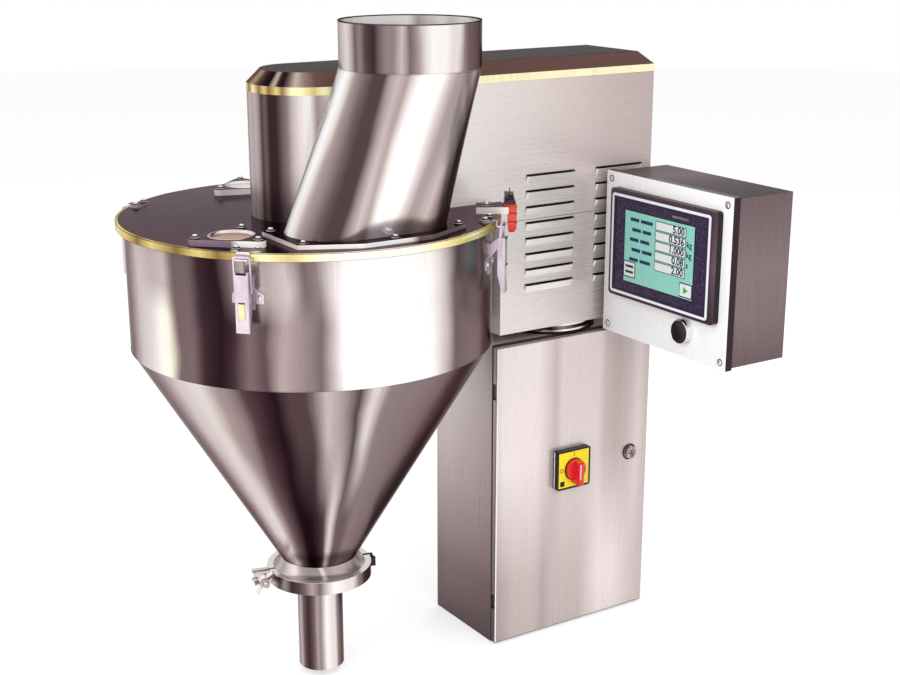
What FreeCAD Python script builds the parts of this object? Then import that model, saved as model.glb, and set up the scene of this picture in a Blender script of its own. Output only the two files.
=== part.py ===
"""Auger filling head: hopper with bolted lid, infeed chute, drive hood, cabinet and control panel.

Millimetres, +Z up. The origin is at the middle of the cabinet's underside, which is bolted down.
+X is the cabinet's door side, -Y is the hopper end that the operator faces.
"""
import FreeCAD, Part

import math
import os
from FreeCAD import Vector

# Cabinet
CABINET_WIDTH = 175.0
CABINET_DEPTH = 300.0
CABINET_HEIGHT = 500.0
CABINET_WALL = 2.0
DOOR_THICKNESS = 11.0
DOOR_SKIN = 1.5
DOOR_GAP = 4.0
DOOR_OVERLAP = 1.0
DOOR_MARGIN = 3.0
RIM_WIDTH = 12.0
BASE_HOLE_R = 5.5
BASE_HOLES_X = 110.0
BASE_HOLES_Y = 240.0
HINGE_PIN_R = 2.5
HINGE_PIN_INSET = 5.0
HINGE_PIN_DEPTH = 6.0
HINGE_LENGTH = 26.0
HINGE_MARGIN = 60.0
RUNNING_CLEARANCE = 0.06
MOUNTING_PLATE = 2.0
MOUNTING_PLATE_STANDOFF = 10.0
MOUNTING_PLATE_MARGIN = 30.0
STUD_R = 4.0
STUD_INSET_Y = 15.0
STUD_INSET_Z = 20.0

# Main switch and lock on the door
SWITCH_Y = -8.0
SWITCH_Z = 278.0
SWITCH_PLATE = 66.0
SWITCH_PLATE_THICKNESS = 11.0
SWITCH_LABEL = 60.0
SWITCH_LABEL_RECESS = 0.8
SWITCH_SHAFT_R = 5.0
SWITCH_KNOB_R = 17.0
SWITCH_KNOB_HEIGHT = 22.0
LOCK_Y = 114.5
LOCK_Z = 279.5
LOCK_R = 12.5
LOCK_HEIGHT = 6.0
LOCK_INSERT_R = 7.0
LOCK_WALL = 2.0
LOCK_SOCKET_R = 4.5
LOCK_TONGUE = 29.0
LOCK_TONGUE_THICKNESS = 2.0
LOCK_TONGUE_GAP = 2.5

# Round flange between cabinet and hood
PEDESTAL_R = 78.0
PEDESTAL_HEIGHT = 17.0

# Drive hood
HOOD_WIDTH = 166.0
HOOD_REAR_BACK_Y = 141.0
HOOD_BAND_Z = 899.0
HOOD_BAND_HEIGHT = 11.0
HOOD_BAND_PROUD = 0.6
HOOD_BAND_DEPTH = 3.5
HOOD_BEVEL = 18.5
HOOD_WALL = 2.0
HOOD_LID_GAP = 3.0
CABLE_HOLE_R = 40.0
LOUVRE_LENGTH = 90.0
LOUVRE_HEIGHT = 11.0
LOUVRE_DEPTH = 5.0
LOUVRE_SKIN = 1.0
LOUVRE_END_ROUND = 2.5
LOUVRE_SLOT = 4.0
LOUVRE_PITCH = 24.0
LOUVRE_ROWS = 8
LOUVRE_TOP_RISE = 240.0
LOUVRE_COLUMNS_Y = (-54.0, 77.0)

# Hopper, on the auger's axis
HOPPER_Y = -420.0
LID_OVERHANG = 11.0
LID_TOP_Z = 724.0
LID_PLATE = 3.0
LID_RIM_HEIGHT = 10.5
LID_RIM_WALL = 3.0
DRUM_R = 262.0
DRUM_BOTTOM_Z = 538.0
HOPPER_WALL = 2.0
DRUM_FLANGE = 8.0
DRUM_FLANGE_HEIGHT = 3.0
CONE_OUTLET_R = 58.0
CONE_OUTLET_Z = 195.0

# Outlet ferrules, clamp, nozzle and auger
CLAMP_R = 79.5
CLAMP_TOP_Z = 180.0
CLAMP_HEIGHT = 20.0
CLAMP_LIP = 3.6
CLAMP_MOUTH_R = 70.0
FERRULE_R = 75.0
FERRULE_LIP = 6.0
FERRULE_SEAT = 0.3
CLAMP_LUG_ANGLE = -102.0
CLAMP_LUG_LENGTH = 24.0
CLAMP_LUG_THICKNESS = 8.0
CLAMP_SPLIT = 6.0
CLAMP_BOLT_R = 4.0
NOZZLE_R = 34.6
NOZZLE_WALL = 1.6
NOZZLE_BOTTOM_Z = 12.0
AUGER_SHAFT_R = 10.0
SHAFT_HOLE_CLEARANCE = 6.0
AUGER_CLEARANCE = 1.0
AUGER_PITCH = 44.0
AUGER_FLIGHT = 3.0
AUGER_TURNS = 4
AUGER_TIP_GAP = 3.0
AUGER_NECK = 8.0
COUPLING_R = 15.0
COUPLING_LENGTH = 32.0
SHAFT_RISE = 30.0
WING_SPAN = 19.5
WING_TILT = 40.0
BEARING_R = 32.0
BEARING_HEIGHT = 22.0
BEARING_FLANGE = 14.0
BEARING_FLANGE_HEIGHT = 6.0

# Infeed chute
CHUTE_X = 160.0
CHUTE_BASE_R = 68.0
CHUTE_BASE_STRAIGHT = 48.0
CHUTE_WALL = 2.0
CHUTE_TOP_X = 188.0
CHUTE_TOP_Y = -364.0
CHUTE_TOP_R = 94.0
CHUTE_JOINT_Z = 942.0
CHUTE_TOP_Z = 1003.0
CHUTE_FLANGE = 6.0
CHUTE_FLANGE_OUT_X = 250.0
CHUTE_FLANGE_IN_X = 87.0
CHUTE_FLANGE_HALF = 129.0
CHUTE_FLANGE_IN_CORNER = (23.0, 29.0)
CHUTE_FLANGE_OUT_CORNER = (38.0, 77.0)

# Sight glasses on the lid: how far in from its edge, the compass angle, and the flange's own turn
SIGHT_GLASSES = {"front": (57.2, -55.6, -101.0), "rear": (68.0, -179.2, -76.0)}
SIGHT_BOLT_CIRCLE_R = 48.5
SIGHT_CORNER_R = 10.0
SIGHT_FLANGE = 9.0
SIGHT_WINDOW_R = 27.0
SIGHT_PANE = 4.0
SIGHT_LEDGE = 2.0

# Toggle latches round the hopper's rim
LATCH_ANGLES = {"front_right": -45.5, "rear_right": 44.5, "rear_left": 135.5, "front_left": -134.5}
LATCH_PIVOT_OUT = 17.0
LATCH_PIVOT_Z = 697.0
LATCH_THROW = 22.0
LATCH_LEVER_TOP = 4.0
LATCH_LEVER_LENGTH = 75.0
LATCH_LEVER_HALF = 9.4
LATCH_SLOT_HALF = 4.0
LATCH_SLOT_DROP = 34.0
LATCH_SLOT_LENGTH = 23.0
LATCH_SHEET = 1.5
LATCH_LEVER_DEPTH = 10.5
LATCH_LEVER_PROUD = 7.5
LATCH_BAIL_HALF = 12.0
LATCH_BAIL_ROUND = 4.0
LATCH_BAIL_SHEET = 1.8
LATCH_BAIL_BAR = 3.0
LATCH_BAR_OUT = 2.0
LATCH_BAR_Z = 720.0
LATCH_CHEEK_HALF = 7.0
LATCH_PIN_R = 1.6
LATCH_BASE_SHEET = 2.0
LATCH_BASE_HALF = 9.0
LATCH_BASE_TOP_DROP = 4.0
LATCH_BASE_BOTTOM_DROP = 49.0
LATCH_EAR_HALF = 21.5
LATCH_EAR_TOP_DROP = 21.0
LATCH_EAR_BOTTOM_DROP = 41.0
LATCH_EAR_SLOPE = 8.0
LATCH_RIVET_R = 2.2
LATCH_RIVET_INSET = 6.0
KEEPER_HALF = 22.0
KEEPER_TONGUE_HALF = 8.6
KEEPER_SHEET = 2.0
KEEPER_TAB_IN = 23.0
KEEPER_TAB_OUT = 5.0
KEEPER_CORNER_R = 8.0
KEEPER_SHELF = 11.0
KEEPER_GAP = 0.5
LATCH_SEAT_GAP = 0.3

# Safety switch on the lid
INTERLOCK_ANGLE = 57.5
INTERLOCK_WIDTH = 34.0
INTERLOCK_BAR = 10.0
INTERLOCK_LENGTH = 46.0
INTERLOCK_REACH = 11.0
INTERLOCK_SENSOR_WIDTH = 12.0
INTERLOCK_SENSOR_HEIGHT = 37.0

# Control panel
PANEL_LEFT_X = 97.0
PANEL_WIDTH = 280.0
PANEL_RISE = 4.0
PANEL_HEIGHT = 252.0
PANEL_FRONT_Y = 44.0
PANEL_COVER_DEPTH = 13.0
PANEL_DEPTH = 116.0
PANEL_WALL = 1.5
PANEL_OVERHANG = 2.5
SCREEN_INSET = 142.5
SCREEN_DROP = 104.3
SCREEN_BASE = (237.0, 165.0)
SCREEN_FACE = (219.0, 153.0)
SCREEN_GLASS = (203.0, 138.0)
SCREEN_THICKNESS = 15.0
SCREEN_BASE_THICKNESS = 11.0
SCREEN_GLASS_RECESS = 1.0
SCREEN_GLASS_THICKNESS = 1.5
SCREEN_BODY_DEPTH = 30.0
SCREEN_FIT = 1.0
BUTTON_INSET = 192.0
BUTTON_RISE = 41.0
BUTTON_R = 18.5
BUTTON_CAP_R = 16.5
BUTTON_STEM_R = 5.0
BUTTON_NECK_R = 13.0
BUTTON_HEIGHT = 12.0
BUTTON_CLEARANCE = 0.5
BUTTON_TRAVEL = 4.0
PANEL_BRACKET_INSET = 3.0
PANEL_RAIL_WIDTH = 13.0
PANEL_RAIL_HEIGHT = 210.0
PANEL_ARM_LENGTH = 80.0
PANEL_ARM_HEIGHT = 48.0

UP = Vector(0, 0, 1)
CABINET_HALF = CABINET_WIDTH / 2
SHELL_FACE_X = CABINET_HALF - DOOR_THICKNESS - DOOR_GAP
DOOR_BACK_X = CABINET_HALF - DOOR_THICKNESS
LOCK_BACK_X = DOOR_BACK_X - 3.0
HOOD_HALF = HOOD_WIDTH / 2
HOOD_BOTTOM_Z = CABINET_HEIGHT + PEDESTAL_HEIGHT
HOOD_TOP_Z = HOOD_BAND_Z + HOOD_BAND_HEIGHT + HOOD_BEVEL
LOUVRE_TOP_Z = HOOD_BOTTOM_Z + LOUVRE_TOP_RISE
LID_R = DRUM_R + LID_OVERHANG
LID_UNDER_Z = LID_TOP_Z - LID_PLATE
HOOD_REAR_FRONT_Y = HOPPER_Y + LID_R + HOOD_LID_GAP
INTERLOCK_OUTER_R = LID_R + INTERLOCK_REACH
INTERLOCK_INNER_R = INTERLOCK_OUTER_R - INTERLOCK_LENGTH
PANEL_BOTTOM_Z = CABINET_HEIGHT + PANEL_RISE
SCREEN_X = PANEL_LEFT_X + SCREEN_INSET
SCREEN_Z = PANEL_BOTTOM_Z + PANEL_HEIGHT - SCREEN_DROP
BUTTON_X = PANEL_LEFT_X + BUTTON_INSET
BUTTON_Z = PANEL_BOTTOM_Z + BUTTON_RISE
AUGER_BOTTOM_Z = NOZZLE_BOTTOM_Z + AUGER_TIP_GAP
AUGER_TOP_Z = AUGER_BOTTOM_Z + AUGER_PITCH * AUGER_TURNS + AUGER_NECK
NOZZLE_BORE_R = NOZZLE_R - NOZZLE_WALL
LATCH_PIVOT_R = DRUM_R + LATCH_PIVOT_OUT
LATCH_WEB_R = LATCH_PIVOT_R + LATCH_LEVER_PROUD
LATCH_SLOT_TOP_Z = LATCH_PIVOT_Z - LATCH_SLOT_DROP
CLAMP_BOLT_X = CLAMP_R + 12.0


def box(x0, x1, y0, y1, z0, z1):
    return Part.makeBox(x1 - x0, y1 - y0, z1 - z0, Vector(x0, y0, z0))


def cylinder(radius, z0, z1, x=0.0, y=0.0):
    return Part.makeCylinder(radius, z1 - z0, Vector(x, y, z0))


def cylinder_x(radius, x0, x1, y, z):
    return Part.makeCylinder(radius, x1 - x0, Vector(x0, y, z), Vector(1, 0, 0))


def cylinder_y(radius, y0, y1, x, z):
    return Part.makeCylinder(radius, y1 - y0, Vector(x, y0, z), Vector(0, 1, 0))


def tube(outer, inner, z0, z1, x=0.0, y=0.0):
    return cylinder(outer, z0, z1, x, y).cut(cylinder(inner, z0, z1, x, y))


def arc_through(start, middle, end, z):
    return Part.Arc(Vector(*start, z), Vector(*middle, z), Vector(*end, z)).toShape()


def polygon_prism(points, z0, z1):
    wire = Part.makePolygon([Vector(x, y, z0) for x, y in points + points[:1]])
    return Part.Face(wire).extrude(UP * (z1 - z0))


def turned(points, y=HOPPER_Y):
    """A solid of revolution about the vertical line at y, from (radius, height) points."""
    corners = [Vector(r, 0, z) for r, z in points]
    face = Part.Face(Part.makePolygon(corners + corners[:1]))
    solid = face.revolve(Vector(0, 0, 0), UP, 360)
    solid.translate(Vector(0, y, 0))
    return solid


def rounded_rectangle(width, height, radius):
    """A face in the XZ plane, centred on the origin, facing -Y."""
    a, b, r = width / 2, height / 2, radius
    corner = r * (1 - math.sqrt(0.5))
    v = lambda x, z: Vector(x, 0, z)
    edges = [
        Part.LineSegment(v(-a + r, -b), v(a - r, -b)).toShape(),
        Part.Arc(v(a - r, -b), v(a - corner, -b + corner), v(a, -b + r)).toShape(),
        Part.LineSegment(v(a, -b + r), v(a, b - r)).toShape(),
        Part.Arc(v(a, b - r), v(a - corner, b - corner), v(a - r, b)).toShape(),
        Part.LineSegment(v(a - r, b), v(-a + r, b)).toShape(),
        Part.Arc(v(-a + r, b), v(-a + corner, b - corner), v(-a, b - r)).toShape(),
        Part.LineSegment(v(-a, b - r), v(-a, -b + r)).toShape(),
        Part.Arc(v(-a, -b + r), v(-a + corner, -b + corner), v(-a + r, -b)).toShape(),
    ]
    return Part.Face(Part.Wire(edges))


def rounded_plate(width, height, radius, x, z, front_y, back_y):
    """A rounded plate that stands in the XZ plane, between two depths."""
    face = rounded_rectangle(width, height, radius)
    face.translate(Vector(x, front_y, z))
    return face.extrude(Vector(0, back_y - front_y, 0))


def round_the_hopper(shape, angle):
    """Turns a shape drawn at +X from the auger's axis to its angle, and moves it onto that axis."""
    copy = shape.copy()
    copy.rotate(Vector(0, 0, 0), UP, angle)
    copy.translate(Vector(0, HOPPER_Y, 0))
    return copy


def hood_outline(inset, z):
    """The hood's plan: a half circle at the hopper end, straight sides and a square back."""
    half = HOOD_HALF - inset
    back = HOOD_REAR_BACK_Y - inset
    edges = [
        arc_through((-half, HOPPER_Y), (0, HOPPER_Y - half), (half, HOPPER_Y), z),
        Part.LineSegment(Vector(half, HOPPER_Y, z), Vector(half, back, z)).toShape(),
        Part.LineSegment(Vector(half, back, z), Vector(-half, back, z)).toShape(),
        Part.LineSegment(Vector(-half, back, z), Vector(-half, HOPPER_Y, z)).toShape(),
    ]
    return Part.Wire(edges)


def hood_prism(inset, z0, z1):
    return Part.Face(hood_outline(inset, z0)).extrude(UP * (z1 - z0))


def chute_base_outline(radius, z):
    """A slot-shaped outline, long way along Y."""
    s = CHUTE_BASE_STRAIGHT
    x, y = CHUTE_X, HOPPER_Y
    edges = [
        arc_through((x - radius, y - s), (x, y - s - radius), (x + radius, y - s), z),
        Part.LineSegment(Vector(x + radius, y - s, z), Vector(x + radius, y + s, z)).toShape(),
        arc_through((x + radius, y + s), (x, y + s + radius), (x - radius, y + s), z),
        Part.LineSegment(Vector(x - radius, y + s, z), Vector(x - radius, y - s, z)).toShape(),
    ]
    return Part.Wire(edges)


def chute_top_outline(radius, z):
    """A circle cut into the four stretches that meet the slot's arcs and sides."""
    x, y = CHUTE_TOP_X, CHUTE_TOP_Y
    turn = math.atan2(CHUTE_BASE_STRAIGHT, CHUTE_BASE_R)
    at = lambda a: Vector(x + radius * math.cos(a), y + radius * math.sin(a), z)
    stops = [math.pi + turn, 2 * math.pi - turn, 2 * math.pi + turn, 3 * math.pi - turn, 3 * math.pi + turn]
    edges = [Part.Arc(at(a), at((a + b) / 2), at(b)).toShape() for a, b in zip(stops, stops[1:])]
    return Part.Wire(edges)


def cabinet_shell():
    inner = CABINET_WALL
    half_depth = CABINET_DEPTH / 2
    shell = box(-CABINET_HALF, SHELL_FACE_X, -half_depth, half_depth, 0, CABINET_HEIGHT)
    shell = shell.cut(box(-CABINET_HALF + inner, SHELL_FACE_X - inner, -half_depth + inner, half_depth - inner,
                          inner, CABINET_HEIGHT - inner))
    mouth = half_depth - RIM_WIDTH
    shell = shell.cut(box(SHELL_FACE_X - 2 * inner, SHELL_FACE_X, -mouth, mouth,
                          RIM_WIDTH, CABINET_HEIGHT - RIM_WIDTH))
    middle_x = (SHELL_FACE_X - CABINET_HALF) / 2
    for sx in (-1, 1):
        for sy in (-1, 1):
            x, y = middle_x + sx * BASE_HOLES_X / 2, sy * BASE_HOLES_Y / 2
            shell = shell.cut(cylinder(BASE_HOLE_R, 0, inner, x, y))
    return shell


def door_hinge_z():
    return (HINGE_MARGIN, CABINET_HEIGHT - HINGE_MARGIN - HINGE_LENGTH)


def hinge_axis():
    return CABINET_HALF - HINGE_PIN_DEPTH, -CABINET_DEPTH / 2 + HINGE_PIN_INSET


def door_hinges():
    """Two brackets on the cabinet's rim, each with a pin that the door turns on."""
    x, y = hinge_axis()
    reach = 1.2
    solids = []
    for z in door_hinge_z():
        arm = box(SHELL_FACE_X, x, y - reach, y + reach, z + 1, z + HINGE_LENGTH - 1)
        pin = cylinder(HINGE_PIN_R, z - 6, z + HINGE_LENGTH + 6, x, y)
        solids.append(arm.fuse(pin).removeSplitter())
    return Part.makeCompound(solids)


def cabinet_door():
    half_depth = CABINET_DEPTH / 2 + DOOR_OVERLAP
    bottom, top = DOOR_MARGIN, CABINET_HEIGHT - DOOR_MARGIN
    door = box(DOOR_BACK_X, CABINET_HALF, -half_depth, half_depth, bottom, top)
    door = door.makeFillet(1.2, [e for e in door.Edges if min(v.X for v in e.Vertexes) > CABINET_HALF - 0.1])
    door = door.cut(box(DOOR_BACK_X, CABINET_HALF - DOOR_SKIN, -half_depth + DOOR_SKIN, half_depth - DOOR_SKIN,
                        bottom + DOOR_SKIN, top - DOOR_SKIN))
    x, y = hinge_axis()
    for z in door_hinge_z():
        for z0, z1 in ((z - 6, z), (z + HINGE_LENGTH, z + HINGE_LENGTH + 6)):
            lug = box(x - 4.2, CABINET_HALF - DOOR_SKIN, -half_depth + DOOR_SKIN, y + 4.2, z0, z1)
            door = door.fuse(lug)
        door = door.cut(cylinder(HINGE_PIN_R + RUNNING_CLEARANCE, z - 6, z + HINGE_LENGTH + 6, x, y))
        door = door.cut(box(DOOR_BACK_X - 1, CABINET_HALF - DOOR_SKIN, -half_depth - 1, y, z, z + HINGE_LENGTH))
    door = door.cut(cylinder_x(LOCK_INSERT_R + LOCK_WALL, DOOR_BACK_X, CABINET_HALF + 1, LOCK_Y, LOCK_Z))
    return door.removeSplitter()


def mounting_panel():
    """The plate inside the cabinet that its equipment is screwed to, on four studs."""
    back = -CABINET_HALF + CABINET_WALL
    front = back + MOUNTING_PLATE_STANDOFF
    margin = MOUNTING_PLATE_MARGIN
    half = CABINET_DEPTH / 2 - margin
    plate = box(front, front + MOUNTING_PLATE, -half, half, margin, CABINET_HEIGHT - margin)
    stud_y = half - STUD_INSET_Y
    stud_z = margin + STUD_INSET_Z
    studs = [cylinder_x(STUD_R, back, front, y, z)
             for y in (-stud_y, stud_y) for z in (stud_z, CABINET_HEIGHT - stud_z)]
    return plate.fuse(studs).removeSplitter()


def switch_plate():
    half = SWITCH_PLATE / 2
    x0, x1 = CABINET_HALF, CABINET_HALF + SWITCH_PLATE_THICKNESS
    plate = box(x0, x1, SWITCH_Y - half, SWITCH_Y + half, SWITCH_Z - half, SWITCH_Z + half)
    along_x = [e for e in plate.Edges if abs(e.Vertexes[0].X - e.Vertexes[1].X) > 1]
    plate = plate.makeFillet(4.0, along_x)
    label = SWITCH_LABEL / 2
    plate = plate.cut(box(x1 - SWITCH_LABEL_RECESS, x1, SWITCH_Y - label, SWITCH_Y + label,
                          SWITCH_Z - label, SWITCH_Z + label))
    return plate.cut(cylinder_x(SWITCH_SHAFT_R, x0 + 3, x1, SWITCH_Y, SWITCH_Z))


def switch_knob():
    """A round base with a grip bar across it that runs out into a tail."""
    x0 = CABINET_HALF + SWITCH_PLATE_THICKNESS + 0.3
    x1 = x0 + SWITCH_KNOB_HEIGHT
    base = cylinder_x(SWITCH_KNOB_R, x0, x0 + 9, SWITCH_Y, SWITCH_Z)
    grip = box(x0, x1, SWITCH_Y - 5, SWITCH_Y + 5, SWITCH_Z - SWITCH_KNOB_R - 5, SWITCH_Z + SWITCH_KNOB_R - 1)
    across = [e for e in grip.Edges if min(v.X for v in e.Vertexes) > x1 - 0.1]
    grip = grip.makeFillet(3.0, across)
    shaft = cylinder_x(SWITCH_SHAFT_R - RUNNING_CLEARANCE, CABINET_HALF + 3, x0, SWITCH_Y, SWITCH_Z)
    return base.fuse([grip, shaft]).removeSplitter()


def lock_housing():
    x0, x1 = CABINET_HALF, CABINET_HALF + LOCK_HEIGHT
    head = Part.makeCone(LOCK_R, LOCK_R - 2.0, LOCK_HEIGHT, Vector(x0, LOCK_Y, LOCK_Z), Vector(1, 0, 0))
    neck = cylinder_x(LOCK_INSERT_R + LOCK_WALL, LOCK_BACK_X, x0, LOCK_Y, LOCK_Z)
    return head.fuse(neck).cut(cylinder_x(LOCK_INSERT_R + RUNNING_CLEARANCE, LOCK_BACK_X, x1, LOCK_Y, LOCK_Z))


def lock_insert():
    """The part that the key turns, with a tongue that swings behind the cabinet's rim."""
    face_x = CABINET_HALF + LOCK_HEIGHT - 2
    back_x = SHELL_FACE_X - CABINET_WALL - LOCK_TONGUE_GAP
    body = cylinder_x(LOCK_INSERT_R, LOCK_BACK_X, face_x, LOCK_Y, LOCK_Z)
    body = body.cut(cylinder_x(LOCK_SOCKET_R, face_x - 5, face_x, LOCK_Y, LOCK_Z))
    peg = cylinder_x(1.5, face_x - 5, face_x - 1, LOCK_Y, LOCK_Z)
    boss = cylinder_x(4.0, back_x, LOCK_BACK_X, LOCK_Y, LOCK_Z)
    tongue = box(back_x - LOCK_TONGUE_THICKNESS, back_x, LOCK_Y - 5, LOCK_Y + 5,
                 LOCK_Z - LOCK_TONGUE, LOCK_Z + 6)
    return body.fuse([peg, boss, tongue]).removeSplitter()


def pedestal():
    """The round flange that carries the hood on the cabinet, with a hole for the cables."""
    z0, z1 = CABINET_HEIGHT, HOOD_BOTTOM_Z
    foot = cylinder(PEDESTAL_R, z0, z0 + 6)
    neck = cylinder(PEDESTAL_R - 14, z0 + 6, z1 - 5)
    head = cylinder(PEDESTAL_R, z1 - 5, z1)
    return foot.fuse([neck, head]).cut(cylinder(CABLE_HOLE_R, z0, z1)).removeSplitter()


def louvre_rows():
    for y in LOUVRE_COLUMNS_Y:
        for row in range(LOUVRE_ROWS):
            yield y, LOUVRE_TOP_Z - row * LOUVRE_PITCH


def hood_shell():
    front_z = LID_TOP_Z
    outer = hood_prism(0, front_z, HOOD_BAND_Z)
    rear = box(-HOOD_HALF, HOOD_HALF, HOOD_REAR_FRONT_Y, HOOD_REAR_BACK_Y, HOOD_BOTTOM_Z, front_z)
    w = HOOD_WALL
    inner = hood_prism(w, front_z + w, HOOD_BAND_Z)
    rear_inner = box(-HOOD_HALF + w, HOOD_HALF - w, HOOD_REAR_FRONT_Y + w, HOOD_REAR_BACK_Y - w,
                     HOOD_BOTTOM_Z + w, front_z + w)
    shell = outer.fuse(rear).removeSplitter().cut(inner).cut(rear_inner)
    shell = shell.cut(cylinder(AUGER_SHAFT_R + SHAFT_HOLE_CLEARANCE, front_z, front_z + w, 0, HOPPER_Y))
    shell = shell.cut(cylinder(CABLE_HOLE_R, HOOD_BOTTOM_Z, HOOD_BOTTOM_Z + w))
    slots = []
    for y, z in louvre_rows():
        a = LOUVRE_LENGTH / 2 - 4
        slots.append(box(-HOOD_HALF, HOOD_HALF, y - a, y + a, z - LOUVRE_SLOT, z))
    return shell.cut(slots)


def louvre_lip(y, z, side):
    """One pressed louvre: a hollow lip that stands off the panel at its top and runs out below."""
    half, skin = LOUVRE_LENGTH / 2, LOUVRE_SKIN
    face_x = side * HOOD_HALF

    def wedge(depth, height, y0, y1):
        corners = [Vector(face_x, y0, z), Vector(face_x + side * depth, y0, z), Vector(face_x, y0, z - height)]
        return Part.Face(Part.makePolygon(corners + corners[:1])).extrude(Vector(0, y1 - y0, 0))

    solid = wedge(LOUVRE_DEPTH, LOUVRE_HEIGHT, y - half, y + half)
    hollow = wedge(LOUVRE_DEPTH - skin, LOUVRE_HEIGHT - 2 * skin, y - half + 2 * skin, y + half - 2 * skin)
    lip = solid.cut(hollow)
    ends = [e for e in lip.Edges
            if abs(abs(e.CenterOfMass.y - y) - half) < 0.1 and abs(e.CenterOfMass.x - face_x) > LOUVRE_DEPTH / 3
            and abs(e.Vertexes[0].Z - e.Vertexes[1].Z) > 1]
    return lip.makeFillet(LOUVRE_END_ROUND, ends)


def louvres():
    return Part.makeCompound([louvre_lip(y, z, side) for side in (-1, 1) for y, z in louvre_rows()])


def hood_band():
    z0, z1 = HOOD_BAND_Z, HOOD_BAND_Z + HOOD_BAND_HEIGHT
    return hood_prism(-HOOD_BAND_PROUD, z0, z1).cut(hood_prism(HOOD_BAND_DEPTH, z0, z1))


def hood_roof():
    z0 = HOOD_BAND_Z + HOOD_BAND_HEIGHT
    w = HOOD_WALL
    outer = Part.makeLoft([hood_outline(0, z0), hood_outline(HOOD_BEVEL, HOOD_TOP_Z)], True, True)
    inner = Part.makeLoft([hood_outline(w * 1.5, z0),
                           hood_outline(HOOD_BEVEL + w / 2, HOOD_TOP_Z - w)], True, True)
    return outer.cut(inner)


def hopper_lid():
    """The lid: a flat plate with a turned-down rim, a mouth for the chute and two sight holes."""
    plate = cylinder(LID_R, LID_UNDER_Z, LID_TOP_Z, 0, HOPPER_Y)
    rim = tube(LID_R, LID_R - LID_RIM_WALL, LID_TOP_Z - LID_RIM_HEIGHT, LID_TOP_Z, 0, HOPPER_Y)
    mouth = Part.Face(chute_base_outline(CHUTE_BASE_R - CHUTE_WALL, LID_UNDER_Z)).extrude(UP * LID_PLATE)
    cuts = [mouth, cylinder(AUGER_SHAFT_R + SHAFT_HOLE_CLEARANCE, LID_UNDER_Z, LID_TOP_Z, 0, HOPPER_Y)]
    for key in SIGHT_GLASSES:
        cuts.append(cylinder(SIGHT_WINDOW_R - SIGHT_LEDGE, LID_UNDER_Z, LID_TOP_Z, *sight_middle(key)))
    return plate.fuse(rim).removeSplitter().cut(cuts)


def hopper_drum():
    top, inner = LID_UNDER_Z, DRUM_R - HOPPER_WALL
    flange_r = DRUM_R + DRUM_FLANGE
    flange_z = top - DRUM_FLANGE_HEIGHT
    return turned([(inner, DRUM_BOTTOM_Z), (DRUM_R, DRUM_BOTTOM_Z), (DRUM_R, flange_z), (flange_r, flange_z),
                   (flange_r, top), (inner, top)])


def hopper_cone():
    w = HOPPER_WALL
    return turned([
        (DRUM_R, DRUM_BOTTOM_Z), (DRUM_R - w, DRUM_BOTTOM_Z),
        (CONE_OUTLET_R - w, CONE_OUTLET_Z), (CONE_OUTLET_R, CONE_OUTLET_Z)])


def ferrule_seam_z():
    return CLAMP_TOP_Z - CLAMP_HEIGHT / 2


def outlet_ferrule():
    """The trumpet-shaped collar under the cone, down to the upper clamping lip."""
    seam = ferrule_seam_z()
    lip_top = seam + FERRULE_LIP
    w = HOPPER_WALL
    throat = CONE_OUTLET_R - w
    mouth = CLAMP_MOUTH_R - 0.4
    p = Vector
    middle = p((mouth + CONE_OUTLET_R) / 2 - 2.2, 0, (CLAMP_TOP_Z + CONE_OUTLET_Z) / 2 - 1.2)
    flare = Part.Arc(p(mouth, 0, CLAMP_TOP_Z), middle, p(CONE_OUTLET_R, 0, CONE_OUTLET_Z)).toShape()
    points = [p(CONE_OUTLET_R, 0, CONE_OUTLET_Z), p(throat, 0, CONE_OUTLET_Z), p(throat, 0, seam),
              p(FERRULE_R, 0, seam), p(FERRULE_R, 0, lip_top), p(mouth, 0, lip_top), p(mouth, 0, CLAMP_TOP_Z)]
    edges = [Part.LineSegment(a, b).toShape() for a, b in zip(points, points[1:])]
    solid = Part.Face(Part.Wire(edges + [flare])).revolve(Vector(0, 0, 0), UP, 360)
    solid.translate(Vector(0, HOPPER_Y, 0))
    return solid


def nozzle():
    """The lower ferrule and the filling tube, welded together."""
    seam = ferrule_seam_z()
    bottom = seam - FERRULE_LIP
    mouth = CLAMP_MOUTH_R - 0.4
    return turned([
        (NOZZLE_BORE_R, seam), (FERRULE_R, seam), (FERRULE_R, bottom), (mouth, bottom),
        (mouth, bottom - 3), (NOZZLE_R, bottom - 3), (NOZZLE_R, NOZZLE_BOTTOM_Z),
        (NOZZLE_BORE_R, NOZZLE_BOTTOM_Z)])


def clamp_ring():
    """The clamp's section swept round: a band whose groove holds both lips of the joint."""
    z1 = CLAMP_TOP_Z
    z0 = z1 - CLAMP_HEIGHT
    reach = FERRULE_LIP + FERRULE_SEAT
    g0, g1 = ferrule_seam_z() - reach, ferrule_seam_z() + reach
    groove = FERRULE_R + FERRULE_SEAT
    return turned([(CLAMP_MOUTH_R, z0), (CLAMP_R, z0), (CLAMP_R, z1), (CLAMP_MOUTH_R, z1),
                   (CLAMP_MOUTH_R, g1), (groove, g1), (groove, g0), (CLAMP_MOUTH_R, g0)], 0)


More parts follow.
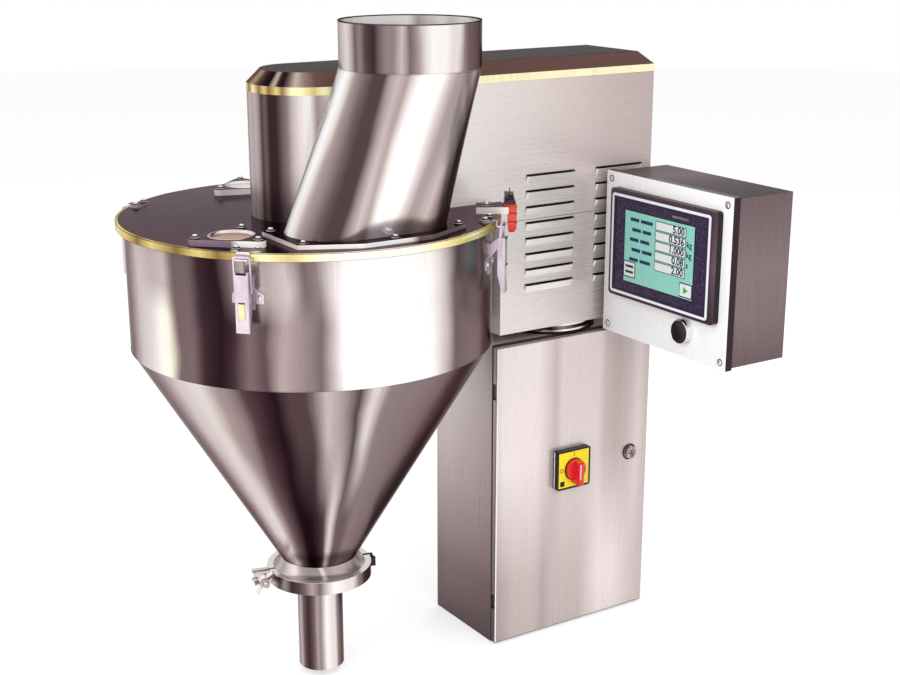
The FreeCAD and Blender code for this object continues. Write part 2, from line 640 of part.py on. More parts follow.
def clamp_half(side):
    """Half of the clamp, with its slotted lug at +X and its hinge lug at -X before it is turned."""
    z0, z1 = CLAMP_TOP_Z - CLAMP_HEIGHT, CLAMP_TOP_Z
    gap = CLAMP_SPLIT / 2
    span = lambda depth: sorted((side * gap, side * (gap + depth)))
    ring = clamp_ring().common(box(-2 * CLAMP_R, 2 * CLAMP_R, *span(2 * CLAMP_R), z0, z1))
    lug = box(CLAMP_R - 2, CLAMP_R + CLAMP_LUG_LENGTH, *span(CLAMP_LUG_THICKNESS), z0 + 1, z1 - 1)
    slot = CLAMP_BOLT_R + 0.5
    mid_z = (z0 + z1) / 2
    lug = lug.cut(box(CLAMP_BOLT_X - slot, CLAMP_R + CLAMP_LUG_LENGTH, *span(CLAMP_LUG_THICKNESS),
                      mid_z - slot, mid_z + slot))
    knuckle = box(-CLAMP_R - 8, -CLAMP_R + 2, *span(7.0), z0 + 3, z1 - 3)
    return round_the_hopper(ring.fuse([lug, knuckle]).removeSplitter(), CLAMP_LUG_ANGLE)


def outlet_clamp():
    """Both halves, with the link that they hinge on."""
    z0, z1 = CLAMP_TOP_Z - CLAMP_HEIGHT + 3, CLAMP_TOP_Z - 3
    link = box(-CLAMP_R - 7, -CLAMP_R - 1, -CLAMP_SPLIT / 2, CLAMP_SPLIT / 2, z0 + 2, z1 - 2)
    return Part.makeCompound([clamp_half(1), clamp_half(-1), round_the_hopper(link, CLAMP_LUG_ANGLE)])


def clamp_bolt():
    """The bolt across the clamp's lugs, with its head on one side and its wing nut on the other."""
    z = CLAMP_TOP_Z - CLAMP_HEIGHT / 2
    x = CLAMP_BOLT_X
    outer = CLAMP_SPLIT / 2 + CLAMP_LUG_THICKNESS
    bolt = cylinder_y(CLAMP_BOLT_R, -outer - 5, outer + 26, x, z)
    head = box(x - 7, x + 7, -outer - 5, -outer, z - 7, z + 7)
    nut = cylinder_y(8.0, outer, outer + 14, x, z)
    wings = []
    for s in (-1, 1):
        corners = [Vector(x - 2, outer + 3, z + s * 4), Vector(x - 2, outer + 10, z + s * WING_SPAN),
                   Vector(x - 2, outer + 20, z + s * WING_SPAN), Vector(x - 2, outer + 13, z + s * 4)]
        wing = Part.Face(Part.makePolygon(corners + corners[:1])).extrude(Vector(4, 0, 0))
        wing.rotate(Vector(x, 0, z), Vector(0, 1, 0), -WING_TILT)
        wings.append(wing)
    return round_the_hopper(bolt.fuse([head, nut] + wings).removeSplitter(), CLAMP_LUG_ANGLE)


def auger():
    """The screw: a core and a flight that fills the nozzle's bore."""
    core = cylinder(AUGER_SHAFT_R, AUGER_BOTTOM_Z, AUGER_TOP_Z)
    flight_r = NOZZLE_BORE_R - AUGER_CLEARANCE
    helix = Part.makeHelix(AUGER_PITCH, AUGER_PITCH * AUGER_TURNS, flight_r)
    inner = AUGER_SHAFT_R - 1
    profile = Part.makePolygon([Vector(inner, 0, 0), Vector(flight_r, 0, 0), Vector(flight_r, 0, AUGER_FLIGHT),
                                Vector(inner, 0, AUGER_FLIGHT), Vector(inner, 0, 0)])
    flight = Part.Wire(helix).makePipeShell([profile], True, True)
    flight.translate(UP * AUGER_BOTTOM_Z)
    screw = core.fuse(flight)
    screw.translate(Vector(0, HOPPER_Y, 0))
    return screw


def drive_shaft():
    """The shaft from the hood down through the lid, with the sleeve that grips the screw's core."""
    sleeve_top = AUGER_TOP_Z + COUPLING_LENGTH
    top = LID_TOP_Z + SHAFT_RISE
    return turned([(0, AUGER_TOP_Z), (COUPLING_R, AUGER_TOP_Z), (COUPLING_R, sleeve_top),
                   (AUGER_SHAFT_R, sleeve_top), (AUGER_SHAFT_R, top), (0, top)])


def auger_bearing():
    """The flanged housing under the lid that the shaft runs in."""
    top = LID_UNDER_Z
    bore = AUGER_SHAFT_R + RUNNING_CLEARANCE
    flange = BEARING_R + BEARING_FLANGE
    return turned([(bore, top), (flange, top), (flange, top - BEARING_FLANGE_HEIGHT),
                   (BEARING_R, top - BEARING_FLANGE_HEIGHT), (BEARING_R - 6, top - BEARING_HEIGHT),
                   (bore, top - BEARING_HEIGHT)])


def infeed_chute():
    """A slanted tube from the slot-shaped mouth in the lid to a round collar."""
    bodies = []
    for inset in (0, CHUTE_WALL):
        slanted = Part.makeLoft([chute_base_outline(CHUTE_BASE_R - inset, LID_TOP_Z),
                                 chute_top_outline(CHUTE_TOP_R - inset, CHUTE_JOINT_Z)], True, True)
        collar = cylinder(CHUTE_TOP_R - inset, CHUTE_JOINT_Z, CHUTE_TOP_Z, CHUTE_TOP_X, CHUTE_TOP_Y)
        bodies.append(slanted.fuse(collar))
    return bodies[0].cut(bodies[1])


def chute_flange_points():
    out, inner, half = CHUTE_FLANGE_OUT_X, CHUTE_FLANGE_IN_X, CHUTE_FLANGE_HALF
    one_side = [(inner, half - CHUTE_FLANGE_IN_CORNER[1]), (inner + CHUTE_FLANGE_IN_CORNER[0], half),
                (out - CHUTE_FLANGE_OUT_CORNER[0], half), (out, half - CHUTE_FLANGE_OUT_CORNER[1])]
    lower = [(x, HOPPER_Y - y) for x, y in one_side]
    upper = [(x, HOPPER_Y + y) for x, y in reversed(one_side)]
    return lower + upper


def chute_flange():
    plate = polygon_prism(chute_flange_points(), LID_TOP_Z, LID_TOP_Z + CHUTE_FLANGE)
    tube_outside = Part.makeLoft([chute_base_outline(CHUTE_BASE_R, LID_TOP_Z),
                                  chute_top_outline(CHUTE_TOP_R, CHUTE_JOINT_Z)], True, True)
    return plate.cut(tube_outside)


def sight_middle(key):
    inset, degrees, _ = SIGHT_GLASSES[key]
    angle = math.radians(degrees)
    return (LID_R - inset) * math.cos(angle), HOPPER_Y + (LID_R - inset) * math.sin(angle)


def sight_corners(key):
    x, y = sight_middle(key)
    turns = [math.radians(SIGHT_GLASSES[key][2] + 120 * k) for k in range(3)]
    return [(x + SIGHT_BOLT_CIRCLE_R * math.cos(a), y + SIGHT_BOLT_CIRCLE_R * math.sin(a)) for a in turns]


def sight_flange(key):
    """A three-cornered clamping flange with a stepped round window."""
    middle = sight_middle(key)
    z0, z1 = LID_TOP_Z, LID_TOP_Z + SIGHT_FLANGE
    corners = sight_corners(key)
    plate = polygon_prism(corners, z0, z1)
    for cx, cy in corners:
        plate = plate.fuse(cylinder(SIGHT_CORNER_R, z0, z1, cx, cy))
    for (ax, ay), (bx, by) in zip(corners, corners[1:] + corners[:1]):
        nx, ny = (by - ay), -(bx - ax)
        n = math.hypot(nx, ny) / SIGHT_CORNER_R
        side = [(ax, ay), (ax + nx / n, ay + ny / n), (bx + nx / n, by + ny / n), (bx, by)]
        plate = plate.fuse(polygon_prism(side, z0, z1))
    plate = plate.removeSplitter()
    plate = plate.cut(cylinder(SIGHT_WINDOW_R - SIGHT_LEDGE, z0, z1, *middle))
    plate = plate.cut(cylinder(SIGHT_WINDOW_R, z0 + 2, z1, *middle))
    bevel = Part.makeCone(SIGHT_WINDOW_R, SIGHT_WINDOW_R + 2.5, 3, Vector(*middle, z1 - 3))
    return plate.cut(bevel)


def sight_pane(key):
    return cylinder(SIGHT_WINDOW_R, LID_TOP_Z + 2, LID_TOP_Z + 2 + SIGHT_PANE, *sight_middle(key))


def latch_base():
    """The plate riveted to the drum, with sloping ears and two cheeks that hold the lever's pin."""
    r0, r1 = DRUM_R, DRUM_R + LATCH_BASE_SHEET
    z = LATCH_PIVOT_Z
    inside = r0 - 20
    z_top, z_bottom = z - LATCH_BASE_TOP_DROP, z - LATCH_BASE_BOTTOM_DROP
    ring = tube(r1, r0, z_bottom, z_top)
    body = ring.common(box(inside, r1, -LATCH_BASE_HALF, LATCH_BASE_HALF, z_bottom, z_top))
    ear_top, ear_bottom = z - LATCH_EAR_TOP_DROP, z - LATCH_EAR_BOTTOM_DROP
    half, slope = LATCH_EAR_HALF, LATCH_EAR_SLOPE
    outline = [Vector(inside, y, h) for y, h in (
        (-half, ear_bottom), (half, ear_bottom), (half, ear_top - slope), (LATCH_BASE_HALF, ear_top),
        (-LATCH_BASE_HALF, ear_top), (-half, ear_top - slope))]
    ears = ring.common(Part.Face(Part.makePolygon(outline + outline[:1])).extrude(Vector(r1 - inside, 0, 0)))
    pivot = LATCH_PIVOT_R
    cheeks = []
    for s in (-1, 1):
        y0, y1 = sorted((s * LATCH_CHEEK_HALF, s * (LATCH_CHEEK_HALF - LATCH_SHEET)))
        pts = [(r1 - 1, z - 28), (r1 - 1, z - 8), (pivot - 3, z + 3.2), (pivot + 3.8, z + 1),
               (pivot + 3.5, z - 3)]
        face = Part.Face(Part.makePolygon([Vector(x, y0, h) for x, h in pts + pts[:1]]))
        cheeks.append(face.extrude(Vector(0, y1 - y0, 0)))
        cheeks.append(cylinder_y(4.2, y0, y1, pivot, z))
    base = body.fuse([ears] + cheeks)
    pin = cylinder_y(LATCH_PIN_R, -LATCH_LEVER_HALF - 0.2, LATCH_LEVER_HALF + 0.2, pivot, z)
    for s in (-1, 1):
        y = s * (LATCH_EAR_HALF - LATCH_RIVET_INSET)
        base = base.cut(cylinder_x(LATCH_RIVET_R, r0 - 3, r1 + 3, y, (ear_top + ear_bottom) / 2 - 2))
    return base.fuse(pin).removeSplitter()


def latch_lever():
    """A channel-shaped handle that turns on the base's pin and carries the bail's pin."""
    pivot, z = LATCH_PIVOT_R, LATCH_PIVOT_Z
    half, sheet = LATCH_LEVER_HALF, LATCH_SHEET
    web_out = LATCH_WEB_R
    back = web_out - LATCH_LEVER_DEPTH
    z0, z1 = z - LATCH_LEVER_LENGTH, z + LATCH_LEVER_TOP
    lever = box(back, web_out, -half, half, z0, z1)
    long_edges = [e for e in lever.Edges if min(v.X for v in e.Vertexes) > web_out - 0.1
                  and abs(e.Vertexes[0].Z - e.Vertexes[1].Z) > 1]
    lever = lever.makeFillet(sheet - 0.1, long_edges)
    lever = lever.cut(box(back, web_out - sheet, -half + sheet, half - sheet, z0 - 1, z1 + 1))
    corners = [Vector(back - 1, -half - 1, z0 - 1), Vector(web_out - sheet - 2, -half - 1, z0 - 1),
               Vector(back - 1, -half - 1, z0 + 30)]
    taper = Part.Face(Part.makePolygon(corners + corners[:1]))
    lever = lever.cut(taper.extrude(Vector(0, 2 * half + 2, 0)))
    lever = lever.cut(box(web_out - sheet, web_out, -LATCH_SLOT_HALF, LATCH_SLOT_HALF,
                          LATCH_SLOT_TOP_Z - LATCH_SLOT_LENGTH, LATCH_SLOT_TOP_Z))
    lever = lever.cut(cylinder_y(LATCH_PIN_R + RUNNING_CLEARANCE, -half, half, pivot, z))
    bail_pin = cylinder_y(LATCH_PIN_R, -LATCH_BAIL_HALF, LATCH_BAIL_HALF, pivot, z - LATCH_THROW)
    return lever.fuse(bail_pin).removeSplitter()


def latch_catch():
    """The spring catch in the lever's slot, a little shorter than the slot."""
    top = LATCH_SLOT_TOP_Z
    return box(LATCH_WEB_R - LATCH_SHEET, LATCH_WEB_R + 0.8, -LATCH_SLOT_HALF, LATCH_SLOT_HALF,
               top - LATCH_SLOT_LENGTH, top - 2)


def latch_bail():
    """The loop that pulls the keeper down: a rounded hoop on the lever's pin, leaning out to its bar."""
    pivot, z = LATCH_PIVOT_R, LATCH_PIVOT_Z - LATCH_THROW
    half, sheet, bar = LATCH_BAIL_HALF, LATCH_BAIL_SHEET, LATCH_BAIL_BAR
    rise = math.hypot(LATCH_BAR_Z - z, LATCH_BAR_OUT)
    top = rise + bar / 2
    x0, x1 = -bar / 2, bar / 2
    hoop = box(x0, x1, -half, half, 0, top)
    corners = [e for e in hoop.Edges if min(v.Z for v in e.Vertexes) > top - 0.1
               and abs(e.Vertexes[0].X - e.Vertexes[1].X) > 1]
    hoop = hoop.makeFillet(LATCH_BAIL_ROUND, corners)
    hoop = hoop.cut(box(x0, x1, -half + sheet, half - sheet, -1, top - bar))
    for s in (-1, 1):
        y0, y1 = sorted((s * half, s * (half - sheet)))
        hoop = hoop.fuse(cylinder_y(2.6, y0, y1, 0, 0))
        hoop = hoop.cut(cylinder_y(LATCH_PIN_R + RUNNING_CLEARANCE, y0, y1, 0, 0))
    hoop = hoop.removeSplitter()
    hoop.rotate(Vector(0, 0, 0), Vector(0, 1, 0), math.degrees(math.asin(LATCH_BAR_OUT / rise)))
    hoop.translate(Vector(pivot, 0, z))
    return hoop


def latch_keeper():
    """The hook plate bolted on the lid: it bends down past the rim and out under the bail's bar."""
    s = KEEPER_SHEET
    top = LID_TOP_Z
    tongue = KEEPER_TONGUE_HALF
    drop_r = LID_R + KEEPER_GAP
    shelf_top = LATCH_BAR_Z - LATCH_BAIL_BAR / 2 - LATCH_SEAT_GAP
    tab = box(LID_R - KEEPER_TAB_IN, LID_R - KEEPER_TAB_OUT, -KEEPER_HALF, KEEPER_HALF, top, top + s)
    tab = tab.makeFillet(KEEPER_CORNER_R, [e for e in tab.Edges if abs(e.Vertexes[0].Z - e.Vertexes[1].Z) > 1])
    neck = box(LID_R - (KEEPER_TAB_IN + KEEPER_TAB_OUT) / 2, drop_r + s, -tongue, tongue, top, top + s)
    drop = box(drop_r, drop_r + s, -tongue, tongue, shelf_top - s, top + s)
    shelf = box(drop_r, drop_r + KEEPER_SHELF, -tongue, tongue, shelf_top - s, shelf_top)
    return tab.fuse([neck, drop, shelf]).removeSplitter()


def round_all(shape):
    return Part.makeCompound([round_the_hopper(shape, a) for a in LATCH_ANGLES.values()])


def interlock_bracket():
    """The block on the lid that carries the safety switch out past the rim."""
    half = INTERLOCK_WIDTH / 2
    bar = box(INTERLOCK_INNER_R, INTERLOCK_OUTER_R, -half, half, LID_TOP_Z, LID_TOP_Z + INTERLOCK_BAR)
    return round_the_hopper(bar, INTERLOCK_ANGLE)


def interlock_sensor():
    """The safety switch that hangs on the bracket's end: three stacked segments under a cap."""
    r0, r1 = INTERLOCK_OUTER_R, INTERLOCK_OUTER_R + INTERLOCK_SENSOR_WIDTH
    z1 = LID_TOP_Z + INTERLOCK_BAR + 3
    half = INTERLOCK_WIDTH / 2 - 3
    body = box(r0, r1, -half, half, z1 - INTERLOCK_SENSOR_HEIGHT, z1)
    body = body.makeFillet(2.0, [e for e in body.Edges if min(v.X for v in e.Vertexes) > r0 + 1])
    for k in (1, 2):
        z = z1 - k * INTERLOCK_SENSOR_HEIGHT / 3
        body = body.cut(box(r1 - 1, r1, -half, half, z - 0.6, z + 0.6))
    cap = box(r0 - 6, r1 - 2, 1 - half, half - 1, z1, z1 + 7)
    cap = cap.makeFillet(3.0, [e for e in cap.Edges if min(v.Z for v in e.Vertexes) > z1 + 6])
    tab = box(r0 - 6, r0, 1 - half, half - 1, LID_TOP_Z + INTERLOCK_BAR, z1)
    return round_the_hopper(body.fuse([cap, tab]).removeSplitter(), INTERLOCK_ANGLE)


def panel_cover():
    """The panel's front: a flat plate with turned-in edges, cut out for the button."""
    x0, x1 = PANEL_LEFT_X, PANEL_LEFT_X + PANEL_WIDTH
    z0, z1 = PANEL_BOTTOM_Z, PANEL_BOTTOM_Z + PANEL_HEIGHT
    y0, y1 = PANEL_FRONT_Y, PANEL_FRONT_Y + PANEL_COVER_DEPTH
    w = PANEL_WALL
    cover = box(x0, x1, y0, y1, z0, z1).cut(box(x0 + w, x1 - w, y0 + w, y1, z0 + w, z1 - w))
    cut_w, cut_h = SCREEN_FACE
    cover = cover.cut(box(SCREEN_X - cut_w / 2, SCREEN_X + cut_w / 2, y0, y0 + w,
                          SCREEN_Z - cut_h / 2, SCREEN_Z + cut_h / 2))
    return cover.cut(cylinder_y(BUTTON_NECK_R + 0.3, y0, y0 + w, BUTTON_X, BUTTON_Z))


def panel_box():
    o = PANEL_OVERHANG
    x0, x1 = PANEL_LEFT_X + o, PANEL_LEFT_X + PANEL_WIDTH - o
    z0, z1 = PANEL_BOTTOM_Z + o, PANEL_BOTTOM_Z + PANEL_HEIGHT - o
    y0, y1 = PANEL_FRONT_Y + PANEL_WALL, PANEL_FRONT_Y + PANEL_DEPTH
    w = PANEL_WALL
    return box(x0, x1, y0, y1, z0, z1).cut(box(x0 + w, x1 - w, y0, y1 - w, z0 + w, z1 - w))


def panel_bracket():
    """An angle between hood and panel: a rail behind the louvres and an arm below them."""
    x0, x1 = HOOD_HALF, PANEL_LEFT_X + PANEL_OVERHANG
    y1 = HOOD_REAR_BACK_Y - PANEL_BRACKET_INSET
    z0 = HOOD_BOTTOM_Z + PANEL_BRACKET_INSET
    rail = box(x0, x1, y1 - PANEL_RAIL_WIDTH, y1, z0, z0 + PANEL_RAIL_HEIGHT)
    arm = box(x0, x1, y1 - PANEL_ARM_LENGTH, y1, z0, z0 + PANEL_ARM_HEIGHT)
    return rail.fuse(arm).removeSplitter()


def screen_housing():
    """The display's body: a stepped frame that stands on the cover and fills its cut-out."""
    y = PANEL_FRONT_Y
    base = rounded_plate(*SCREEN_BASE, 6, SCREEN_X, SCREEN_Z, y - SCREEN_BASE_THICKNESS, y)
    face = rounded_plate(*SCREEN_FACE, 5, SCREEN_X, SCREEN_Z, y - SCREEN_THICKNESS, y)
    half_w, half_h = SCREEN_FACE[0] / 2 - SCREEN_FIT, SCREEN_FACE[1] / 2 - SCREEN_FIT
    back = box(SCREEN_X - half_w, SCREEN_X + half_w, y, y + SCREEN_BODY_DEPTH,
               SCREEN_Z - half_h, SCREEN_Z + half_h)
    body = base.fuse([face, back]).removeSplitter()
    recess = rounded_plate(*SCREEN_GLASS, 4, SCREEN_X, SCREEN_Z, y - SCREEN_THICKNESS,
                           y - SCREEN_THICKNESS + SCREEN_GLASS_RECESS + SCREEN_GLASS_THICKNESS)
    return body.cut(recess)


def screen_glass():
    y = PANEL_FRONT_Y - SCREEN_THICKNESS + SCREEN_GLASS_RECESS
    return rounded_plate(*SCREEN_GLASS, 4, SCREEN_X, SCREEN_Z, y, y + SCREEN_GLASS_THICKNESS)


def button_ring():
    y0, y1 = PANEL_FRONT_Y - BUTTON_HEIGHT, PANEL_FRONT_Y
    ring = cylinder_y(BUTTON_R, y0, y1, BUTTON_X, BUTTON_Z)
    ring = ring.fuse(cylinder_y(BUTTON_NECK_R, y1, y1 + 14, BUTTON_X, BUTTON_Z))
    socket_r = BUTTON_CAP_R + BUTTON_CLEARANCE
    ring = ring.cut(cylinder_y(socket_r, y0, y0 + BUTTON_HEIGHT - 2, BUTTON_X, BUTTON_Z))
    return ring.cut(cylinder_y(BUTTON_STEM_R, y0, y1 + 10, BUTTON_X, BUTTON_Z)).removeSplitter()


def button_cap():
    y0 = PANEL_FRONT_Y - BUTTON_HEIGHT
    cap = cylinder_y(BUTTON_CAP_R, y0 + 0.5, y0 + 5.5, BUTTON_X, BUTTON_Z)
    stem = cylinder_y(BUTTON_STEM_R - RUNNING_CLEARANCE, y0 + 5.5, PANEL_FRONT_Y + 4, BUTTON_X, BUTTON_Z)
    return cap.fuse(stem).removeSplitter()


NODES = {
    "cabinet_shell": cabinet_shell,
    "mounting_panel": mounting_panel,
    "door_hinges": door_hinges,
    "cabinet_door": cabinet_door,
    "switch_plate": switch_plate,
    "switch_knob": switch_knob,
    "lock_housing": lock_housing,
    "lock_insert": lock_insert,
    "pedestal": pedestal,
    "hood_shell": hood_shell,
    "louvres": louvres,
    "hood_band": hood_band,
    "hood_roof": hood_roof,
    "hopper_lid": hopper_lid,
    "hopper_drum": hopper_drum,
    "hopper_cone": hopper_cone,
    "outlet_ferrule": outlet_ferrule,
    "outlet_clamp": outlet_clamp,
    "clamp_bolt": clamp_bolt,
    "nozzle": nozzle,
    "auger": auger,
    "drive_shaft": drive_shaft,
    "auger_bearing": auger_bearing,
    "infeed_chute": infeed_chute,
    "chute_flange": chute_flange,
    "sight_flanges": lambda: Part.makeCompound([sight_flange(key) for key in SIGHT_GLASSES]),
    "sight_panes": lambda: Part.makeCompound([sight_pane(key) for key in SIGHT_GLASSES]),
    "latch_bases": lambda: round_all(latch_base()),
    "latch_keepers": lambda: round_all(latch_keeper()),
    "interlock_bracket": interlock_bracket,
    "interlock_sensor": interlock_sensor,
    "panel_cover": panel_cover,
    "panel_box": panel_box,
    "panel_bracket": panel_bracket,
    "screen_housing": screen_housing,
    "screen_glass": screen_glass,
    "button_ring": button_ring,
    "button_cap": button_cap,
}
for place, place_angle in LATCH_ANGLES.items():
    NODES["latch_lever_" + place] = lambda a=place_angle: round_the_hopper(latch_lever().fuse(latch_catch()), a)
    NODES["latch_bail_" + place] = lambda a=place_angle: round_the_hopper(latch_bail(), a)


def main():
    os.makedirs("parts", exist_ok=True)
    for name, make in NODES.items():
        shape = make()
        assert shape.isValid() and shape.Volume > 0, name
        shape.exportStep("parts/" + name + ".step")


main()
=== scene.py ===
"""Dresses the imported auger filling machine: finishes, fasteners, marks, lamps, floor and camera."""

import math

import bmesh
import bpy
from mathutils import Matrix, Vector


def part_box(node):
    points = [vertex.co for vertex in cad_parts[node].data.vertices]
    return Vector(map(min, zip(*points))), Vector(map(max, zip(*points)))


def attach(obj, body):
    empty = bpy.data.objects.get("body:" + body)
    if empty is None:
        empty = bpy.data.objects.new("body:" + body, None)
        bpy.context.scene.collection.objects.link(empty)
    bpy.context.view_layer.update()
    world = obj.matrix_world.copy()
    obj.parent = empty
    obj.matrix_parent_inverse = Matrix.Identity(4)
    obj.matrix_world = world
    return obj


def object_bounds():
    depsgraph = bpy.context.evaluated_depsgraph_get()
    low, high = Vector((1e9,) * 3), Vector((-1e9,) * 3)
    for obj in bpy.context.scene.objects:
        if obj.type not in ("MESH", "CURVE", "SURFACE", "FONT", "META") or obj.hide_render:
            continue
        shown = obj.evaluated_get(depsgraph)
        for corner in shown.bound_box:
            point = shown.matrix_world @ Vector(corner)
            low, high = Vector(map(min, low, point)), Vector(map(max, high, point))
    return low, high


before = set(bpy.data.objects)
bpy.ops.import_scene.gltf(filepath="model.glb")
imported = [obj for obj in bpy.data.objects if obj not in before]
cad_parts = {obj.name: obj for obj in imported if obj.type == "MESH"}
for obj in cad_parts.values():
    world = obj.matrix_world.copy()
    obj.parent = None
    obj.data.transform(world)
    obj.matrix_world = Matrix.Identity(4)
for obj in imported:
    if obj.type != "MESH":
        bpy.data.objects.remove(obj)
cad_low, cad_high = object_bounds()

# Camera, as fitted to the photograph's straight edges and circles
CAMERA_PLACE = (1.9047, -1.4090, 1.1479)
CAMERA_AZIMUTH = 57.13
CAMERA_ELEVATION = 16.82
CAMERA_LENS = 60.58
CAMERA_SHIFT = (-0.0017, 0.0254)

camera_data = bpy.data.cameras.new("camera")
camera_data.lens = CAMERA_LENS
camera_data.sensor_width = 36.0
camera_data.shift_x, camera_data.shift_y = CAMERA_SHIFT
camera = bpy.data.objects.new("camera", camera_data)
camera.location = CAMERA_PLACE
camera.rotation_euler = (math.radians(90 - CAMERA_ELEVATION), 0, math.radians(CAMERA_AZIMUTH))
bpy.context.scene.collection.objects.link(camera)
bpy.context.scene.camera = camera

# Places taken from the frame
lid_low, lid_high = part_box("hopper_lid")
weld_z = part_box("hopper_drum")[0].z
chute_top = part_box("infeed_chute")[1].z
flange_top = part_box("chute_flange")[1].z
hood_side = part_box("hood_shell")[1].x
roof_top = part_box("hood_roof")[1].z
shell_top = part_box("cabinet_shell")[1].z
door_low, door_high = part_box("cabinet_door")
cover_low, cover_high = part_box("panel_cover")
box_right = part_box("panel_box")[1].x
housing_low, housing_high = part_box("screen_housing")
glass_low, glass_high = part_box("screen_glass")
ring_low, ring_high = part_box("button_ring")
cap_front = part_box("button_cap")[0].y
plate_low, plate_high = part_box("switch_plate")
knob_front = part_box("switch_knob")[1].x
lock_low, lock_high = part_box("lock_housing")
bracket_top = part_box("interlock_bracket")[1].z
keeper_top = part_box("latch_keepers")[1].z
sight_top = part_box("sight_flanges")[1].z

# Sizes shared by several pieces
SIDES = (-1, 1)
HOPPER = Vector(((lid_low.x + lid_high.x) / 2, (lid_low.y + lid_high.y) / 2, 0))
LID_RADIUS = (lid_high.x - lid_low.x) / 2
DRUM_RADIUS = 0.262
CABINET_HEIGHT = 0.5
LATCH_DEGREES = {"front_right": -45.5, "rear_right": 44.5, "rear_left": 135.5, "front_left": -134.5}
INTERLOCK_DEGREES = 57.5
CHUTE_FOOT = Vector((0.160, -0.420, 0.724))
CHUTE_JOINT = Vector((0.188, -0.364, 0.942))
CHUTE_RADIUS = 0.094
PANEL_FOOT, PANEL_TOP = 0.504, 0.756
SCREEN_MIDDLE = ((housing_low.x + housing_high.x) / 2, (housing_low.z + housing_high.z) / 2)
BEZEL_HALF = (0.1095, 0.0765)


def tone(red, green, blue):
    """A colour as seen on screen, 0 to 255, turned into the linear values that shaders take."""
    def linear(value):
        value /= 255
        return value / 12.92 if value <= 0.04045 else ((value + 0.055) / 1.055) ** 2.4
    return (linear(red), linear(green), linear(blue), 1.0)


# Tones of polished steel, from full light to a dark mirrored room, and of brass
WHITE = tone(255, 255, 255)
BRIGHT = tone(247, 241, 238)
PALE = tone(229, 219, 216)
SILVER = tone(197, 183, 182)
DOVE = tone(169, 152, 150)
PEWTER = tone(143, 126, 126)
UMBER = tone(113, 95, 95)
PLUM = tone(82, 64, 67)
DARK = tone(58, 39, 46)
DEEP = tone(33, 20, 26)
TONES = {
    "white": WHITE, "bright": BRIGHT, "pale": PALE, "silver": SILVER, "dove": DOVE, "pewter": PEWTER,
    "umber": UMBER, "plum": PLUM, "dark": DARK, "deep": DEEP, "sandy": tone(163, 141, 126),
    "cream": tone(250, 244, 226), "warm": tone(150, 128, 116), "brown": tone(106, 80, 74),
    "cocoa": tone(94, 70, 66), "straw": tone(196, 180, 160), "brass": tone(222, 200, 128),
    "gilt": tone(252, 242, 190), "ivory": tone(255, 253, 236), "olive": tone(176, 158, 92),
    "bronze": tone(134, 104, 62), "russet": tone(112, 88, 58), "mauve": tone(122, 104, 118)}


def streaks(words):
    """Painted reflection streaks from pairs such as "-118 umber": a compass angle, 0 at +X and -90 at -Y,
    and a tone.
    """
    parts = words.split()
    return [(float(degrees), TONES[name]) for degrees, name in zip(parts[::2], parts[1::2])]


# Shader building
FOLD_DEGREES = 62.0


